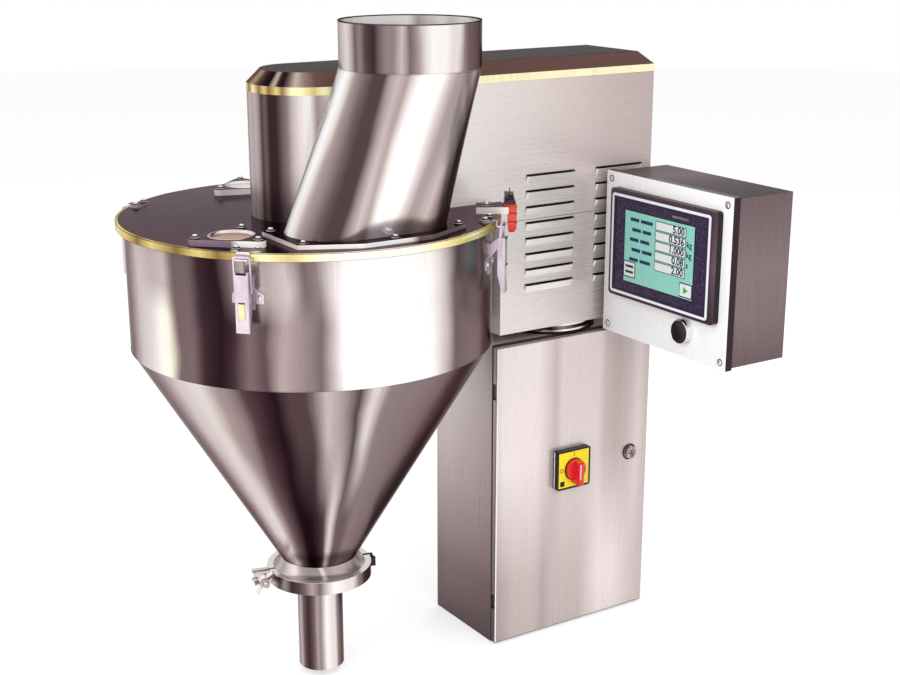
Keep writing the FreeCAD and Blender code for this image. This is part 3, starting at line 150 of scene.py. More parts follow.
class Finish:
    """A material's node tree, with one call for each kind of node that the finishes use."""

    def __init__(self, name, **sockets):
        self.material = bpy.data.materials.new(name)
        self.material.use_nodes = True
        self.tree = self.material.node_tree
        self.tree.nodes.clear()
        self.shader = self.add("ShaderNodeBsdfPrincipled")
        output = self.add("ShaderNodeOutputMaterial")
        self.tree.links.new(self.shader.outputs["BSDF"], output.inputs["Surface"])
        for socket, value in sockets.items():
            self.put(self.shader.inputs[socket.replace("_", " ")], value)
        self.texture = self.add("ShaderNodeTexCoord")

    def add(self, kind, **settings):
        made = self.tree.nodes.new(kind)
        for key, value in settings.items():
            setattr(made, key, value)
        return made

    def put(self, socket, value):
        if isinstance(value, bpy.types.NodeSocket):
            self.tree.links.new(value, socket)
        else:
            socket.default_value = value

    def set(self, socket, value):
        self.put(self.shader.inputs[socket], value)

    def axes(self, output="Object"):
        """The X, Y and Z of a point of the object, or of the way it faces."""
        split = self.add("ShaderNodeSeparateXYZ")
        self.put(split.inputs[0], self.texture.outputs[output])
        return split.outputs["X"], split.outputs["Y"], split.outputs["Z"]

    def math(self, operation, first, second=0.0):
        made = self.add("ShaderNodeMath", operation=operation)
        self.put(made.inputs[0], first)
        self.put(made.inputs[1], second)
        return made.outputs[0]

    def plus(self, first, second):
        return self.math("ADD", first, second)

    def minus(self, first, second):
        return self.math("SUBTRACT", first, second)

    def times(self, first, second):
        return self.math("MULTIPLY", first, second)

    def from_axis(self, x, y, middle=HOPPER):
        """How far a point is from an upright axis, in X and in Y."""
        return self.minus(x, middle[0]), self.minus(y, middle[1])

    def span(self, value, low, high, to_low=0.0, to_high=1.0):
        """Maps low to high onto another range, held at its ends."""
        made = self.add("ShaderNodeMapRange")
        self.put(made.inputs["Value"], value)
        numbers = {"From Min": low, "From Max": high, "To Min": to_low, "To Max": to_high}
        for socket, number in numbers.items():
            made.inputs[socket].default_value = number
        return made.outputs["Result"]

    def vector(self, x, y, z):
        made = self.add("ShaderNodeCombineXYZ")
        for socket, value in zip(made.inputs, (x, y, z)):
            self.put(socket, value)
        return made.outputs[0]

    def noise(self, vector, scale, detail, roughness=0.5):
        made = self.add("ShaderNodeTexNoise")
        self.put(made.inputs["Vector"], vector)
        made.inputs["Scale"].default_value = scale
        made.inputs["Detail"].default_value = detail
        made.inputs["Roughness"].default_value = roughness
        return made.outputs["Fac"]

    def grain(self, scale, detail, stretch=(1, 1, 1), roughness=0.5):
        """Noise on Object coordinates, drawn out along each axis whose number is under 1."""
        mapping = self.add("ShaderNodeMapping")
        self.put(mapping.inputs["Vector"], self.texture.outputs["Object"])
        mapping.inputs["Scale"].default_value = stretch
        return self.noise(mapping.outputs["Vector"], scale, detail, roughness)

    def ramp(self, value, *stops):
        """A colour from a value, by stops of (position, colour)."""
        made = self.add("ShaderNodeValToRGB")
        ramp = made.color_ramp
        while len(ramp.elements) < len(stops):
            ramp.elements.new(0.5)
        for element, (position, colour) in zip(ramp.elements, stops):
            element.position = position
            element.color = colour
        self.put(made.inputs["Fac"], value)
        return made.outputs["Color"]

    def rose(self, turn, stops):
        """A colour from a turn of compass() or folded(), by streaks."""
        return self.ramp(turn, *[((degrees + 180) / 360, colour) for degrees, colour in stops])

    def mix(self, factor, first, second, blend="MIX"):
        made = self.add("ShaderNodeMix", data_type="RGBA", blend_type=blend)
        self.put(made.inputs["Factor"], factor)
        self.put(made.inputs[6], first)
        self.put(made.inputs[7], second)
        return made.outputs[2]

    def shade(self, colour, value, low, high):
        """Multiplies a colour by a grey that runs from low to high as the value goes from 0.3 to 0.7."""
        grey = self.span(value, 0.3, 0.7, low, high)
        return self.mix(1.0, colour, self.vector(grey, grey, grey), "MULTIPLY")

    def bump(self, height, strength, distance=0.0003):
        made = self.add("ShaderNodeBump")
        made.inputs["Strength"].default_value = strength
        made.inputs["Distance"].default_value = distance
        self.put(made.inputs["Height"], height)
        self.put(self.shader.inputs["Normal"], made.outputs["Normal"])

    def compass(self, across, along):
        """The compass angle of an offset from an axis, as 0 to 1 from -X round through -Y."""
        return self.span(self.math("ARCTAN2", along, across), -math.pi, math.pi)

    def folded(self, across, along):
        """As compass, but the side away from the door and the hopper's front mirrors the other side."""
        fold = math.radians(FOLD_DEGREES)
        ahead = self.plus(self.times(across, math.cos(fold)), self.times(along, math.sin(fold)))
        aside = self.minus(self.times(along, math.cos(fold)), self.times(across, math.sin(fold)))
        turn = self.math("ABSOLUTE", self.math("ARCTAN2", aside, ahead))
        return self.span(turn, 0.0, math.pi, (FOLD_DEGREES + 180) / 360, FOLD_DEGREES / 360)

    def sheet_round(self, across, along, z, squeeze):
        """A point on a unit drum, its height squeezed, so that noise on it makes tall streaks."""
        unit = self.add("ShaderNodeVectorMath", operation="NORMALIZE")
        self.put(unit.inputs[0], self.vector(across, along, 0.0))
        total = self.add("ShaderNodeVectorMath", operation="ADD")
        self.put(total.inputs[0], unit.outputs[0])
        self.put(total.inputs[1], self.vector(0.0, 0.0, self.times(z, squeeze)))
        return total.outputs[0]

    def finished(self, colour, grain, smoothest, roughest, spread=0.25):
        """Sets the colour and a roughness that follows a grain's middle values, and gives the material."""
        self.set("Base Color", colour)
        self.set("Roughness", self.span(grain, 0.5 - spread, 0.5 + spread, smoothest, roughest))
        return self.material


def streaked(finish, across, along, z, stops, upper=None, between=None, sway=0.004):
    """Tall painted reflection streaks at compass angles about an axis, with a second set above a height
    where it is given.
    """
    wander = finish.noise(finish.sheet_round(across, along, z, 2.2), 2.6, 2.0)
    turn = finish.plus(finish.folded(across, along), finish.span(wander, 0.3, 0.7, -sway, sway))
    colour = finish.rose(turn, stops)
    if upper:
        colour = finish.mix(finish.span(z, *between), colour, finish.rose(turn, upper))
    fine = finish.noise(finish.sheet_round(across, along, z, 0.12), 150.0, 3.0, 0.6)
    return finish.shade(colour, fine, 0.93, 1.05), fine


def rolled_steel(name, stops, middle=HOPPER, upper=None, between=None):
    """Mirror-polished sheet rolled round an upright axis, its colour painted reflection streaks."""
    finish = Finish(name, Metallic=0.85, Specular_Tint=tone(150, 136, 138), Specular_IOR_Level=0.1)
    x, y, z = finish.axes()
    across, along = finish.from_axis(x, y, middle)
    colour, fine = streaked(finish, across, along, z, stops, upper, between)
    finish.bump(fine, 0.02)
    return finish.finished(colour, fine, 0.17, 0.25)


# Painted reflection streaks of the hopper, nozzle, clamp, chute and collar. Folding uses them from -120 to
# 65 degrees
DRUM_STREAKS = streaks(
    "-132 pewter -118 umber -111 dark -106 umber -101 pewter -96 silver -90 pale -82 pale -78 bright "
    "-75 cream -71 umber -65 umber -61 dark -55 deep -51 dark -46 umber -41 plum -36 dove -30 pewter "
    "-25 umber -21 silver -17 white -3 white 10 bright 16 silver 20 umber 34 pewter 46 dark 56 pale "
    "180 silver")
DRUM_TOP_STREAKS = streaks(
    "-132 pewter -118 umber -106 umber -101 pewter -96 silver -90 pale -82 silver -75 silver -71 umber "
    "-65 umber -61 dark -55 deep -51 umber -46 silver -41 dove -35 silver -30 umber -25 pewter -21 pale "
    "-17 white -3 white 10 bright 15 silver 19 umber 26 pewter 36 pewter 42 pale 48 white 62 white "
    "180 silver")
CONE_STREAKS = streaks(
    "-124 pewter -115 umber -108 umber -100 dove -93 dove -87 umber -80 pewter -72 silver -66 pale "
    "-59 pale -54 dove -49 umber -44 plum -39 deep -33 deep -28 dark -24 plum -19 pale -14 umber "
    "-9 umber -3 pewter 9 pewter 16 pewter 22 umber 31 dark 36 umber 42 pale 48 silver 57 dark 90 dove")
CONE_TOP_STREAKS = streaks(
    "-124 pale -118 dove -113 plum -108 plum -101 umber -94 plum -88 pewter -80 silver -74 pale "
    "-64 pale -58 dove -53 pewter -49 plum -44 dark -39 deep -34 plum -29 plum -24 silver -19 dove "
    "-14 plum -9 pale -4 pewter 9 pewter 17 pewter 24 umber 32 plum 39 silver 46 white 53 umber 61 plum")
NOZZLE_STREAKS = streaks(
    "-116 silver -88 silver -82 dove -76 umber -68 plum -60 dark -52 plum -44 umber -36 dove -28 pewter "
    "-20 silver -12 bright 4 pale 12 pale 20 pewter 36 umber 44 pewter 52 dove 70 silver")
CLAMP_STREAKS = streaks(
    "-180 silver -116 pale -90 pale -84 dove -76 plum -68 pewter -60 dark -50 plum -43 umber -36 dove "
    "-28 umber -20 silver -12 bright 4 pale 12 pale 20 pewter 28 umber 40 umber 50 dark 62 plum 110 pale")
CHUTE_STREAKS = streaks(
    "-122 bright -108 white -92 white -85 pale -80 dove -74 pewter -68 umber -60 plum -50 plum -45 dove "
    "-40 silver -33 dove -28 pale -22 white -6 white 0 pale 6 silver 12 dove 18 dove 30 silver 35 dove "
    "40 pewter 47 plum 58 plum 90 umber")
COLLAR_STREAKS = streaks(
    "-118 silver -108 pale -92 pale -86 silver -80 umber -74 pewter -68 plum -61 dark -56 umber "
    "-50 pewter -44 pewter -38 silver -32 umber -26 dove -20 pale -14 bright -2 bright 4 pale 10 pale "
    "16 pewter 22 umber 38 umber 46 dark 53 umber 58 plum 90 umber")

drum_steel = rolled_steel("polished drum steel", DRUM_STREAKS, HOPPER, DRUM_TOP_STREAKS, (0.625, 0.665))
cone_steel = rolled_steel("polished cone steel", CONE_STREAKS, HOPPER, CONE_TOP_STREAKS, (0.30, 0.45))
nozzle_steel = rolled_steel("polished nozzle steel", NOZZLE_STREAKS)
# The clamp: painted reflection streaks, with a painted highlight along its top edge.
clamp_steel = rolled_steel("polished clamp steel", CLAMP_STREAKS, HOPPER,
                           streaks("-180 bright 180 bright"), (0.1795, 0.1799))
pedestal_steel = rolled_steel("turned pedestal steel", CLAMP_STREAKS, (0, 0))


def ferrule_finish():
    """The trumpet collar under the cone: painted reflection streaks that swing as it opens out, and a
    painted highlight on its lip.
    """
    finish = Finish("polished ferrule steel", Metallic=0.7, Specular_Tint=tone(190, 178, 180))
    x, y, z = finish.axes()
    across, along = finish.from_axis(x, y)
    swing = finish.span(z, 0.178, 0.195, 0.0, 0.12)
    turned_x = finish.minus(across, finish.times(swing, along))
    turned_y = finish.plus(along, finish.times(swing, across))
    colour, fine = streaked(finish, turned_x, turned_y, z, CONE_STREAKS)
    colour = finish.mix(0.35, colour, PALE)
    # Painted highlight: the lip is painted brighter.
    lip = finish.span(z, 0.1765, 0.1785, 1.0, 0.0)
    return finish.finished(finish.mix(lip, colour, finish.mix(0.6, colour, BRIGHT)), fine, 0.16, 0.26)


def chute_finish():
    """The infeed tube: painted reflection streaks follow its slanted middle line and change at the collar's
    weld, and the collar's inside is painted light.
    """
    finish = Finish("polished chute steel", Metallic=0.8, Specular_Tint=tone(150, 136, 138),
                    Specular_IOR_Level=0.1)
    x, y, z = finish.axes()
    across = finish.minus(x, finish.span(z, CHUTE_FOOT.z, CHUTE_JOINT.z, CHUTE_FOOT.x, CHUTE_JOINT.x))
    along = finish.minus(y, finish.span(z, CHUTE_FOOT.z, CHUTE_JOINT.z, CHUTE_FOOT.y, CHUTE_JOINT.y))
    colour, fine = streaked(finish, across, along, z, CHUTE_STREAKS, COLLAR_STREAKS,
                            (CHUTE_JOINT.z - 0.001, CHUTE_JOINT.z + 0.001), 0.006)
    # Painted light on the collar's inside.
    painted_inside_light = finish.rose(finish.compass(across, along), streaks(
        "100 white 112 pale 120 white 134 pale 142 silver 150 white"))
    outward = finish.plus(finish.times(across, across), finish.times(along, along))
    above = finish.math("GREATER_THAN", z, CHUTE_JOINT.z)
    within = finish.math("LESS_THAN", outward, (CHUTE_RADIUS - 0.0008) ** 2)
    finish.bump(fine, 0.02)
    return finish.finished(finish.mix(finish.times(above, within), colour, painted_inside_light), fine, 0.16, 0.26)


def hood_finish():
    """The hood: painted reflection streaks round its nose and painted reflection tones on its flat sides,
    which are finely brushed.
    """
    finish = Finish("brushed hood steel", Specular_Tint=tone(170, 158, 160), Specular_IOR_Level=0.2)
    x, y, z = finish.axes()
    across, along = finish.from_axis(x, y)
    finish.set("Metallic", finish.span(y, -0.44, -0.36, 0.85, 0.3))
    colour = finish.rose(finish.compass(across, along), streaks(
        "-180 pale -130 pale -116 silver -107 silver -99 pale -92 silver -86 silver -81 dove -76 plum "
        "-71 umber -66 dark -58 dark -55 plum -51 umber -46 pewter -41 silver -35 pale -29 bright "
        "-24 bright -18 dove -12 silver -5 bright 0 white 60 white 76 pale 82 silver 90 pewter "
        "98 silver 104 pale 180 pale"))
    # Painted shade: the flat side darkens towards its top and its rear.
    dimmer = finish.times(finish.span(z, 0.62, 0.90), finish.span(y, -0.16, 0.14, 0.25, 1.0))
    colour = finish.mix(finish.times(dimmer, 0.6), colour,
                        finish.mix(1.0, colour, tone(226, 217, 213), "MULTIPLY"))
    on_side = finish.grain(520.0, 4.0, (1, 0.012, 1), 0.65)
    on_nose = finish.noise(finish.sheet_round(across, along, z, 0.12), 120.0, 3.0, 0.6)
    lines = finish.mix(finish.span(y, -0.44, -0.40), on_nose, on_side)
    cloud = finish.grain(14.0, 2.0, (1, 0.2, 0.4))
    finish.bump(lines, 0.05)
    return finish.finished(finish.shade(finish.shade(colour, lines, 0.955, 1.02), cloud, 0.98, 1.01),
                           lines, 0.22, 0.34)


def louvre_finish():
    """Pressed louvres: pale like the hood's side, with their upward faces painted dark as a reflection."""
    finish = Finish("pressed louvre steel", Metallic=0.4, Specular_Tint=tone(170, 160, 162))
    facing_up = finish.axes("Normal")[2]
    lines = finish.grain(520.0, 3.0, (1, 0.02, 1))
    colour = finish.ramp(finish.span(facing_up, 0.1, 0.4), (0.3, BRIGHT), (0.6, PLUM), (1.0, DARK))
    return finish.finished(finish.shade(colour, lines, 0.95, 1.0), lines, 0.26, 0.36)


def roof_finish():
    """The hood's bevelled roof, its colour painted reflections: a dark plum top that darkens towards the
    rear, warm brown side bevels and a striped nose bevel.
    """
    finish = Finish("bevelled roof steel", Metallic=0.9, Specular_Tint=tone(92, 76, 80),
                    Specular_IOR_Level=0.1)
    x, y, z = finish.axes()
    bevel = finish.rose(finish.compass(*finish.from_axis(x, y)), streaks(
        "-180 brown -140 warm -122 sandy -104 warm -92 straw -82 brown -74 dark -66 deep -60 straw "
        "-56 dark -50 deep -45 umber -38 straw -30 warm -18 brown 30 brown 60 cocoa 80 brown 90 umber "
        "100 brown 180 brown"))
    top = finish.ramp(finish.span(y, -0.5, 0.141), (0.0, tone(96, 78, 78)), (0.55, tone(84, 66, 70)),
                      (1.0, tone(62, 44, 50)))
    lines = finish.grain(420.0, 3.0, (1, 0.02, 1))
    flat = finish.span(z, roof_top - 0.0006, roof_top - 0.0002)
    return finish.finished(finish.shade(finish.mix(flat, bevel, top), lines, 0.92, 1.05), lines, 0.24, 0.34)


def lid_finish():
    """The lid's top: a polished plate painted dark plum as a reflection of a dark room, lighter where it
    mirrors the chute and the cabinet.
    """
    finish = Finish("polished lid plate", Metallic=1.0, Specular_Tint=tone(184, 174, 178))
    x, y, z = finish.axes()
    wander = finish.grain(4.0, 2.0)
    turn = finish.plus(finish.compass(*finish.from_axis(x, y)), finish.span(wander, 0.3, 0.7, -0.02, 0.02))
    stops = (
        (-180, PLUM), (-165, DARK), (-130, tone(50, 33, 40)), (-95, tone(56, 38, 44)),
        (-74, tone(62, 44, 50)), (-58, tone(80, 62, 66)), (-44, tone(92, 74, 78)), (-30, tone(104, 88, 90)),
        (-8, UMBER), (14, UMBER), (38, tone(98, 80, 86)), (64, tone(108, 90, 96)), (90, UMBER),
        (130, PLUM), (180, PLUM))
    fine = finish.grain(260.0, 2.0)
    finish.bump(fine, 0.015)
    return finish.finished(finish.shade(finish.rose(turn, stops), fine, 0.96, 1.04), wander, 0.12, 0.2, 0.3)


def brass_finish(name, stops):
    """Brass-coloured edge strip whose flashes sit at compass angles about the hopper's axis."""
    finish = Finish(name, Metallic=0.65, Specular_Tint=tone(200, 180, 130))
    x, y, z = finish.axes()
    colour, fine = streaked(finish, *finish.from_axis(x, y), z, stops, sway=0.005)
    return finish.finished(colour, fine, 0.16, 0.26)


lid_brass = brass_finish("brass lid edge", streaks(
    "-150 gilt -118 olive -108 brass -100 gilt -90 brass -83 bronze -76 brass -66 bronze -58 brass "
    "-52 bronze -45 brass -40 gilt -33 brass -26 gilt -20 ivory 2 ivory 10 gilt 18 brass 26 gilt "
    "32 brass 42 bronze 52 russet 64 olive"))
trim_brass = brass_finish("brass hood trim", streaks(
    "-130 gilt -116 brass -108 gilt -98 bronze -90 gilt -80 bronze -72 brass -66 bronze -56 brass "
    "-50 bronze -42 gilt -32 gilt -22 brass -12 gilt 0 ivory 60 gilt 82 brass"))


def cabinet_finish():
    """Vertically brushed shell with painted shade: the side towards the hopper runs from light above to dark
    below.
    """
    finish = Finish("brushed cabinet steel", Metallic=0.3, Specular_Tint=tone(190, 180, 180))
    x, y, z = finish.axes()
    lines = finish.grain(520.0, 4.0, (1, 1, 0.012), 0.65)
    cloud = finish.grain(5.0, 2.0, (1, 1, 0.5))
    height = finish.span(z, 0.0, CABINET_HEIGHT)
    # Painted shade and reflection on the side towards the hopper: light above, dark below, and darker
    # towards the door.
    falling = finish.ramp(height, (0.0, tone(88, 68, 72)), (0.2, tone(130, 110, 112)),
                          (0.4, tone(186, 166, 166)), (0.6, tone(228, 212, 211)),
                          (0.8, tone(252, 244, 242)), (1.0, WHITE))
    falling = finish.mix(finish.span(x, -0.05, 0.07), falling,
                         finish.mix(1.0, falling, tone(206, 196, 197), "MULTIPLY"))
    # Painted shade on the other faces: darker towards the bottom.
    plain = finish.ramp(height, (0.0, tone(188, 172, 171)), (1.0, tone(226, 214, 212)))
    to_hopper = finish.span(finish.axes("Normal")[1], -0.9, -0.5, 1.0, 0.0)
    # Painted shade: the front strip in the gap beside the door is dark plum.
    rim = finish.span(x, 0.0708, 0.0714)
    colour = finish.mix(rim, finish.mix(to_hopper, plain, falling), PLUM)
    finish.bump(lines, 0.05)
    return finish.finished(finish.shade(finish.shade(colour, lines, 0.93, 1.04), cloud, 0.97, 1.02),
                           lines, 0.24, 0.38)


def column_tones(finish, z):
    """The column beside the door, painted shade from dark at its foot to silver at its head."""
    return finish.ramp(finish.span(z, 0.0, CABINET_HEIGHT), (0.0, PLUM), (0.5, PEWTER), (1.0, SILVER))


def door_finish():
    """Vertically brushed door with broad soft bands of painted reflection, a painted highlight on its folded
    edge, and painted shade on its side and bottom edge.
    """
    finish = Finish("brushed door steel", Metallic=0.55, Specular_Tint=tone(200, 190, 190))
    x, y, z = finish.axes()
    wander = finish.grain(7.0, 2.0, (1, 1, 0.35))
    across = finish.plus(finish.span(y, -0.151, 0.151), finish.span(wander, 0.3, 0.7, -0.012, 0.012))
    fair, mild, dim = tone(232, 220, 219), tone(218, 205, 203), tone(197, 182, 180)
    # Broad soft bands of painted reflection across the door.
    upper = finish.ramp(
        across, (0.0, mild), (0.05, fair), (0.26, fair), (0.31, mild), (0.38, dim), (0.42, mild),
        (0.66, mild), (0.7, dim), (0.78, tone(186, 170, 168)), (0.86, dim), (0.93, mild), (1.0, dim))
    lower = finish.ramp(
        across, (0.0, tone(172, 156, 156)), (0.12, dim), (0.26, dim), (0.31, tone(182, 166, 166)),
        (0.38, dim), (0.55, dim), (0.62, mild), (0.68, fair), (0.78, fair), (0.86, mild), (1.0, dim))
    colour = finish.mix(finish.span(z, 0.10, 0.30), lower, upper)
    # Painted shade: a dark line on the door's side where the gap is, the rest of the side in the column's
    # painted shade.
    painted_gap_shade = finish.mix(finish.span(x, 0.0842, 0.0845), column_tones(finish, z), DEEP)
    # Painted highlight on the folded edge.
    edge = finish.mix(finish.span(x, 0.0856, 0.0859), painted_gap_shade, WHITE)
    fold = finish.span(y, door_low.y + 0.0008, door_low.y + 0.0014, 1.0, 0.0)
    # Painted shade along the door's bottom edge.
    foot = finish.span(z, door_low.z + 0.0012, door_low.z + 0.0018, 1.0, 0.0)
    colour = finish.mix(foot, finish.mix(fold, colour, edge), PLUM)
    lines = finish.grain(520.0, 4.0, (1, 1, 0.012), 0.65)
    finish.bump(lines, 0.05)
    return finish.finished(finish.shade(colour, lines, 0.94, 1.04), lines, 0.24, 0.36)


def cover_finish():
    """The panel's front plate, with painted shade: white turning to a cool grey lower down and towards its
    left, with dark turned-in edges.
    """
    finish = Finish("pale panel front", Metallic=0.1, Specular_IOR_Level=0.15)
    x, y, z = finish.axes()
    front = finish.ramp(finish.span(z, PANEL_FOOT, PANEL_TOP), (0.0, tone(246, 247, 250)),
                        (0.2, tone(252, 253, 254)), (1.0, WHITE))
    front = finish.mix(finish.span(x, 0.097, 0.13, 0.5, 0.0), front, tone(206, 203, 207))
    lines = finish.grain(420.0, 3.0, (1, 1, 0.02))
    # Painted shade: the turned-in edges are dark.
    edge = finish.span(y, cover_low.y + 0.0005, cover_low.y + 0.0009)
    colour = finish.mix(edge, finish.shade(front, lines, 0.975, 1.01), tone(46, 28, 37))
    return finish.finished(colour, lines, 0.26, 0.36)


def panel_box_finish():
    """The control box: brushed sheet whose painted reflections are plum-brown, lighter on its side than on
    its top, with a dark line painted along the top's right edge.
    """
    finish = Finish("dark brushed panel box", Metallic=0.6, Specular_Tint=tone(110, 96, 100),
                    Specular_IOR_Level=0.2)
    x, y, z = finish.axes()
    side = finish.ramp(finish.span(z, PANEL_FOOT, PANEL_TOP), (0.0, tone(110, 92, 95)),
                       (0.3, tone(132, 114, 116)), (0.55, tone(136, 118, 120)), (1.0, tone(116, 98, 100)))
    top = finish.ramp(finish.span(x, 0.097, 0.377), (0.0, tone(118, 102, 102)), (0.3, tone(136, 120, 120)),
                      (0.6, tone(98, 80, 82)), (1.0, tone(58, 42, 46)))
    lit = finish.span(finish.axes("Normal")[2], 0.5, 0.9)
    rim = finish.times(finish.span(x, box_right - 0.0022, box_right - 0.0014), lit)
    lines = finish.grain(420.0, 3.0, (0.03, 1, 0.03))
    finish.bump(lines, 0.06)
    colour = finish.mix(rim, finish.mix(lit, side, top), DEEP)
    return finish.finished(finish.shade(colour, lines, 0.9, 1.06), lines, 0.26, 0.38)


def bezel_finish():
    """The screen's bezel: black foot, plum-brown shoulder with painted light, lightest at mid height and
    darkest at the bottom, thin white frame and dark purple inside.
    """
    finish = Finish("stepped screen bezel", Roughness=0.34, Specular_IOR_Level=0.25)
    x, y, z = finish.axes()
    shoulder = finish.ramp(finish.span(z, housing_low.z, housing_high.z), (0.0, tone(60, 40, 48)),
                           (0.5, tone(98, 80, 86)), (1.0, tone(74, 54, 62)))
    past_edge = [finish.minus(finish.math("ABSOLUTE", finish.minus(value, middle)), half)
                 for value, middle, half in zip((x, z), SCREEN_MIDDLE, BEZEL_HALF)]
    inward = finish.span(finish.math("MAXIMUM", *past_edge), -0.0042, -0.0038, 1.0, 0.0)
    white = finish.mix(inward, tone(232, 234, 242), tone(44, 32, 60))
    proud = finish.span(y, housing_low.y + 0.0006, housing_low.y + 0.001)
    foot = finish.span(y, housing_low.y + 0.0046, housing_low.y + 0.0052)
    grain = finish.grain(700.0, 2.0)
    colour = finish.mix(foot, finish.mix(proud, white, shoulder), tone(22, 14, 20))
    finish.set("Base Color", finish.shade(colour, grain, 0.96, 1.03))
    finish.bump(grain, 0.05, 0.0002)
    return finish.material


def border_finish():
    """The dark purple mottled border round the picture."""
    finish = Finish("speckled screen border", Roughness=0.35, Specular_IOR_Level=0.25)
    grain = finish.grain(620.0, 4.0, (1, 1, 1), 0.85)
    finish.set("Base Color", finish.ramp(grain, (0.38, tone(16, 10, 28)), (0.5, tone(38, 26, 54)),
                                         (0.62, tone(84, 70, 104)), (0.7, tone(160, 148, 180))))
    finish.bump(grain, 0.08, 0.0002)
    return finish.material


def glass_finish():
    """Sight glass: brown from the hopper's dark inside, and the rear one pale from the studio."""
    finish = Finish("tinted sight glass", IOR=1.45, Specular_IOR_Level=0.15)
    cloud = finish.grain(14.0, 2.0)
    brown = finish.ramp(cloud, (0.3, tone(132, 82, 56)), (0.7, tone(152, 102, 74)))
    pale = finish.ramp(cloud, (0.3, tone(204, 190, 188)), (0.7, tone(228, 216, 214)))
    rear = finish.span(finish.axes()[0], -0.15, -0.1, 1.0, 0.0)
    return finish.finished(finish.mix(rear, brown, pale), cloud, 0.04, 0.12, 0.2)


def moulded(name, colour, roughness=0.4, shift=0.06, coat=0.0, gloss=0.5):
    """Moulded or printed plastic with a faint grain and slightly uneven colour."""
    finish = Finish(name, Coat_Weight=coat, Specular_IOR_Level=gloss)
    cloud = finish.grain(40.0, 3.0)
    speckle = finish.grain(700.0, 2.0)
    finish.bump(speckle, 0.06, 0.0002)
    return finish.finished(finish.shade(colour, cloud, 1 - shift, 1 + shift), speckle,
                           roughness * 0.85, roughness * 1.15, 0.2)


def small_metal(name, light, dark, roughness=0.2, scale=50.0, tint=tone(200, 190, 192)):
    """Small turned or pressed metal parts: an even colour with soft handling marks."""
    finish = Finish(name, Metallic=1.0, Specular_Tint=tint)
    cloud = finish.grain(scale, 3.0)
    return finish.finished(finish.ramp(cloud, (0.3, dark), (0.7, light)), cloud,
                           roughness * 0.8, roughness * 1.3, 0.2)


def latch_finish():
    """Pressed latch sheet in soft lilac."""
    finish = Finish("pressed latch steel", Metallic=0.6, Specular_Tint=tone(210, 200, 206))
    cloud = finish.grain(60.0, 2.0, (1, 1, 0.3))
    return finish.finished(finish.ramp(cloud, (0.3, tone(190, 170, 184)), (0.7, tone(222, 208, 216))),
                           cloud, 0.2, 0.32, 0.2)


def keeper_finish():
    """Keeper plates: painted reflections, a dark mirror on top like the lid and bright where they bend down.
    """
    finish = Finish("bent keeper steel", Metallic=0.8, Specular_Tint=tone(190, 180, 184))
    cloud = finish.grain(60.0, 2.0)
    top = finish.span(finish.axes("Normal")[2], 0.5, 0.9)
    bright = finish.ramp(cloud, (0.3, tone(226, 212, 216)), (0.7, tone(250, 242, 244)))
    return finish.finished(finish.mix(top, bright, tone(86, 66, 74)), cloud, 0.16, 0.26, 0.2)


def edge_lit(name, face, z_top, edges):
    """A flat plate painted as mirroring the room darkly on top, with painted reflection streaks, mostly
    bright, on its cut edges.
    """
    finish = Finish(name, Specular_Tint=tone(180, 170, 174), Specular_IOR_Level=0.1)
    x, y, z = finish.axes()
    cloud = finish.grain(12.0, 2.0)
    side = finish.rose(finish.compass(*finish.from_axis(x, y)), streaks(edges))
    top = finish.span(z, z_top - 0.0004, z_top - 0.0001)
    finish.set("Metallic", finish.span(top, 0.0, 1.0, 0.25, 0.95))
    colour = finish.shade(finish.mix(top, side, face), cloud, 0.95, 1.04)
    return finish.finished(colour, cloud, 0.14, 0.24, 0.2)


def sensor_finish():
    """The safety switch: red-orange housing with painted shade towards its top and foot, two dark seams, and
    a black cap.
    """
    finish = Finish("red switch plastic", Coat_Weight=0.15)
    z = finish.axes()[2]
    grain = finish.grain(500.0, 2.0)
    joint = finish.grain(120.0, 2.0, (1, 1, 0.4))
    deep, lit, seam = tone(206, 48, 30), tone(232, 72, 50), tone(92, 22, 22)
    red = finish.ramp(
        finish.span(z, 0.700, 0.737), (0.0, deep), (0.30, lit), (0.315, seam), (0.35, seam), (0.365, lit),
        (0.63, lit), (0.65, seam), (0.685, seam), (0.70, lit), (1.0, deep))
    cap = finish.span(z, 0.7366, 0.7372)
    finish.bump(grain, 0.05, 0.0002)
    colour = finish.mix(cap, finish.shade(red, joint, 0.94, 1.05), tone(30, 20, 26))
    return finish.finished(colour, grain, 0.32, 0.42, 0.2)


def hinge_finish():
    """Hinge leaves that match the column beside the door, with its painted shade, dark at the foot."""
    finish = Finish("brushed hinge steel", Metallic=0.5, Specular_Tint=tone(190, 180, 180))
    lines = finish.grain(520.0, 3.0, (1, 1, 0.012))
    column = column_tones(finish, finish.axes()[2])
    return finish.finished(finish.shade(column, lines, 0.94, 1.03), lines, 0.26, 0.36)


def clamp_fitting_finish():
    """Cast clamp fittings, with painted light by facing: white upper faces, dark undersides and grey sides.
    """
    finish = Finish("cast clamp fitting", Metallic=0.85, Specular_Tint=tone(170, 156, 158))
    grain = finish.grain(70.0, 2.0)
    facing_up = finish.span(finish.axes("Normal")[2], -1.0, 1.0)
    colour = finish.ramp(facing_up, (0.0, DARK), (0.3, PLUM), (0.45, DOVE), (0.55, SILVER), (0.7, WHITE))
    return finish.finished(finish.shade(colour, grain, 0.9, 1.05), grain, 0.16, 0.28, 0.2)


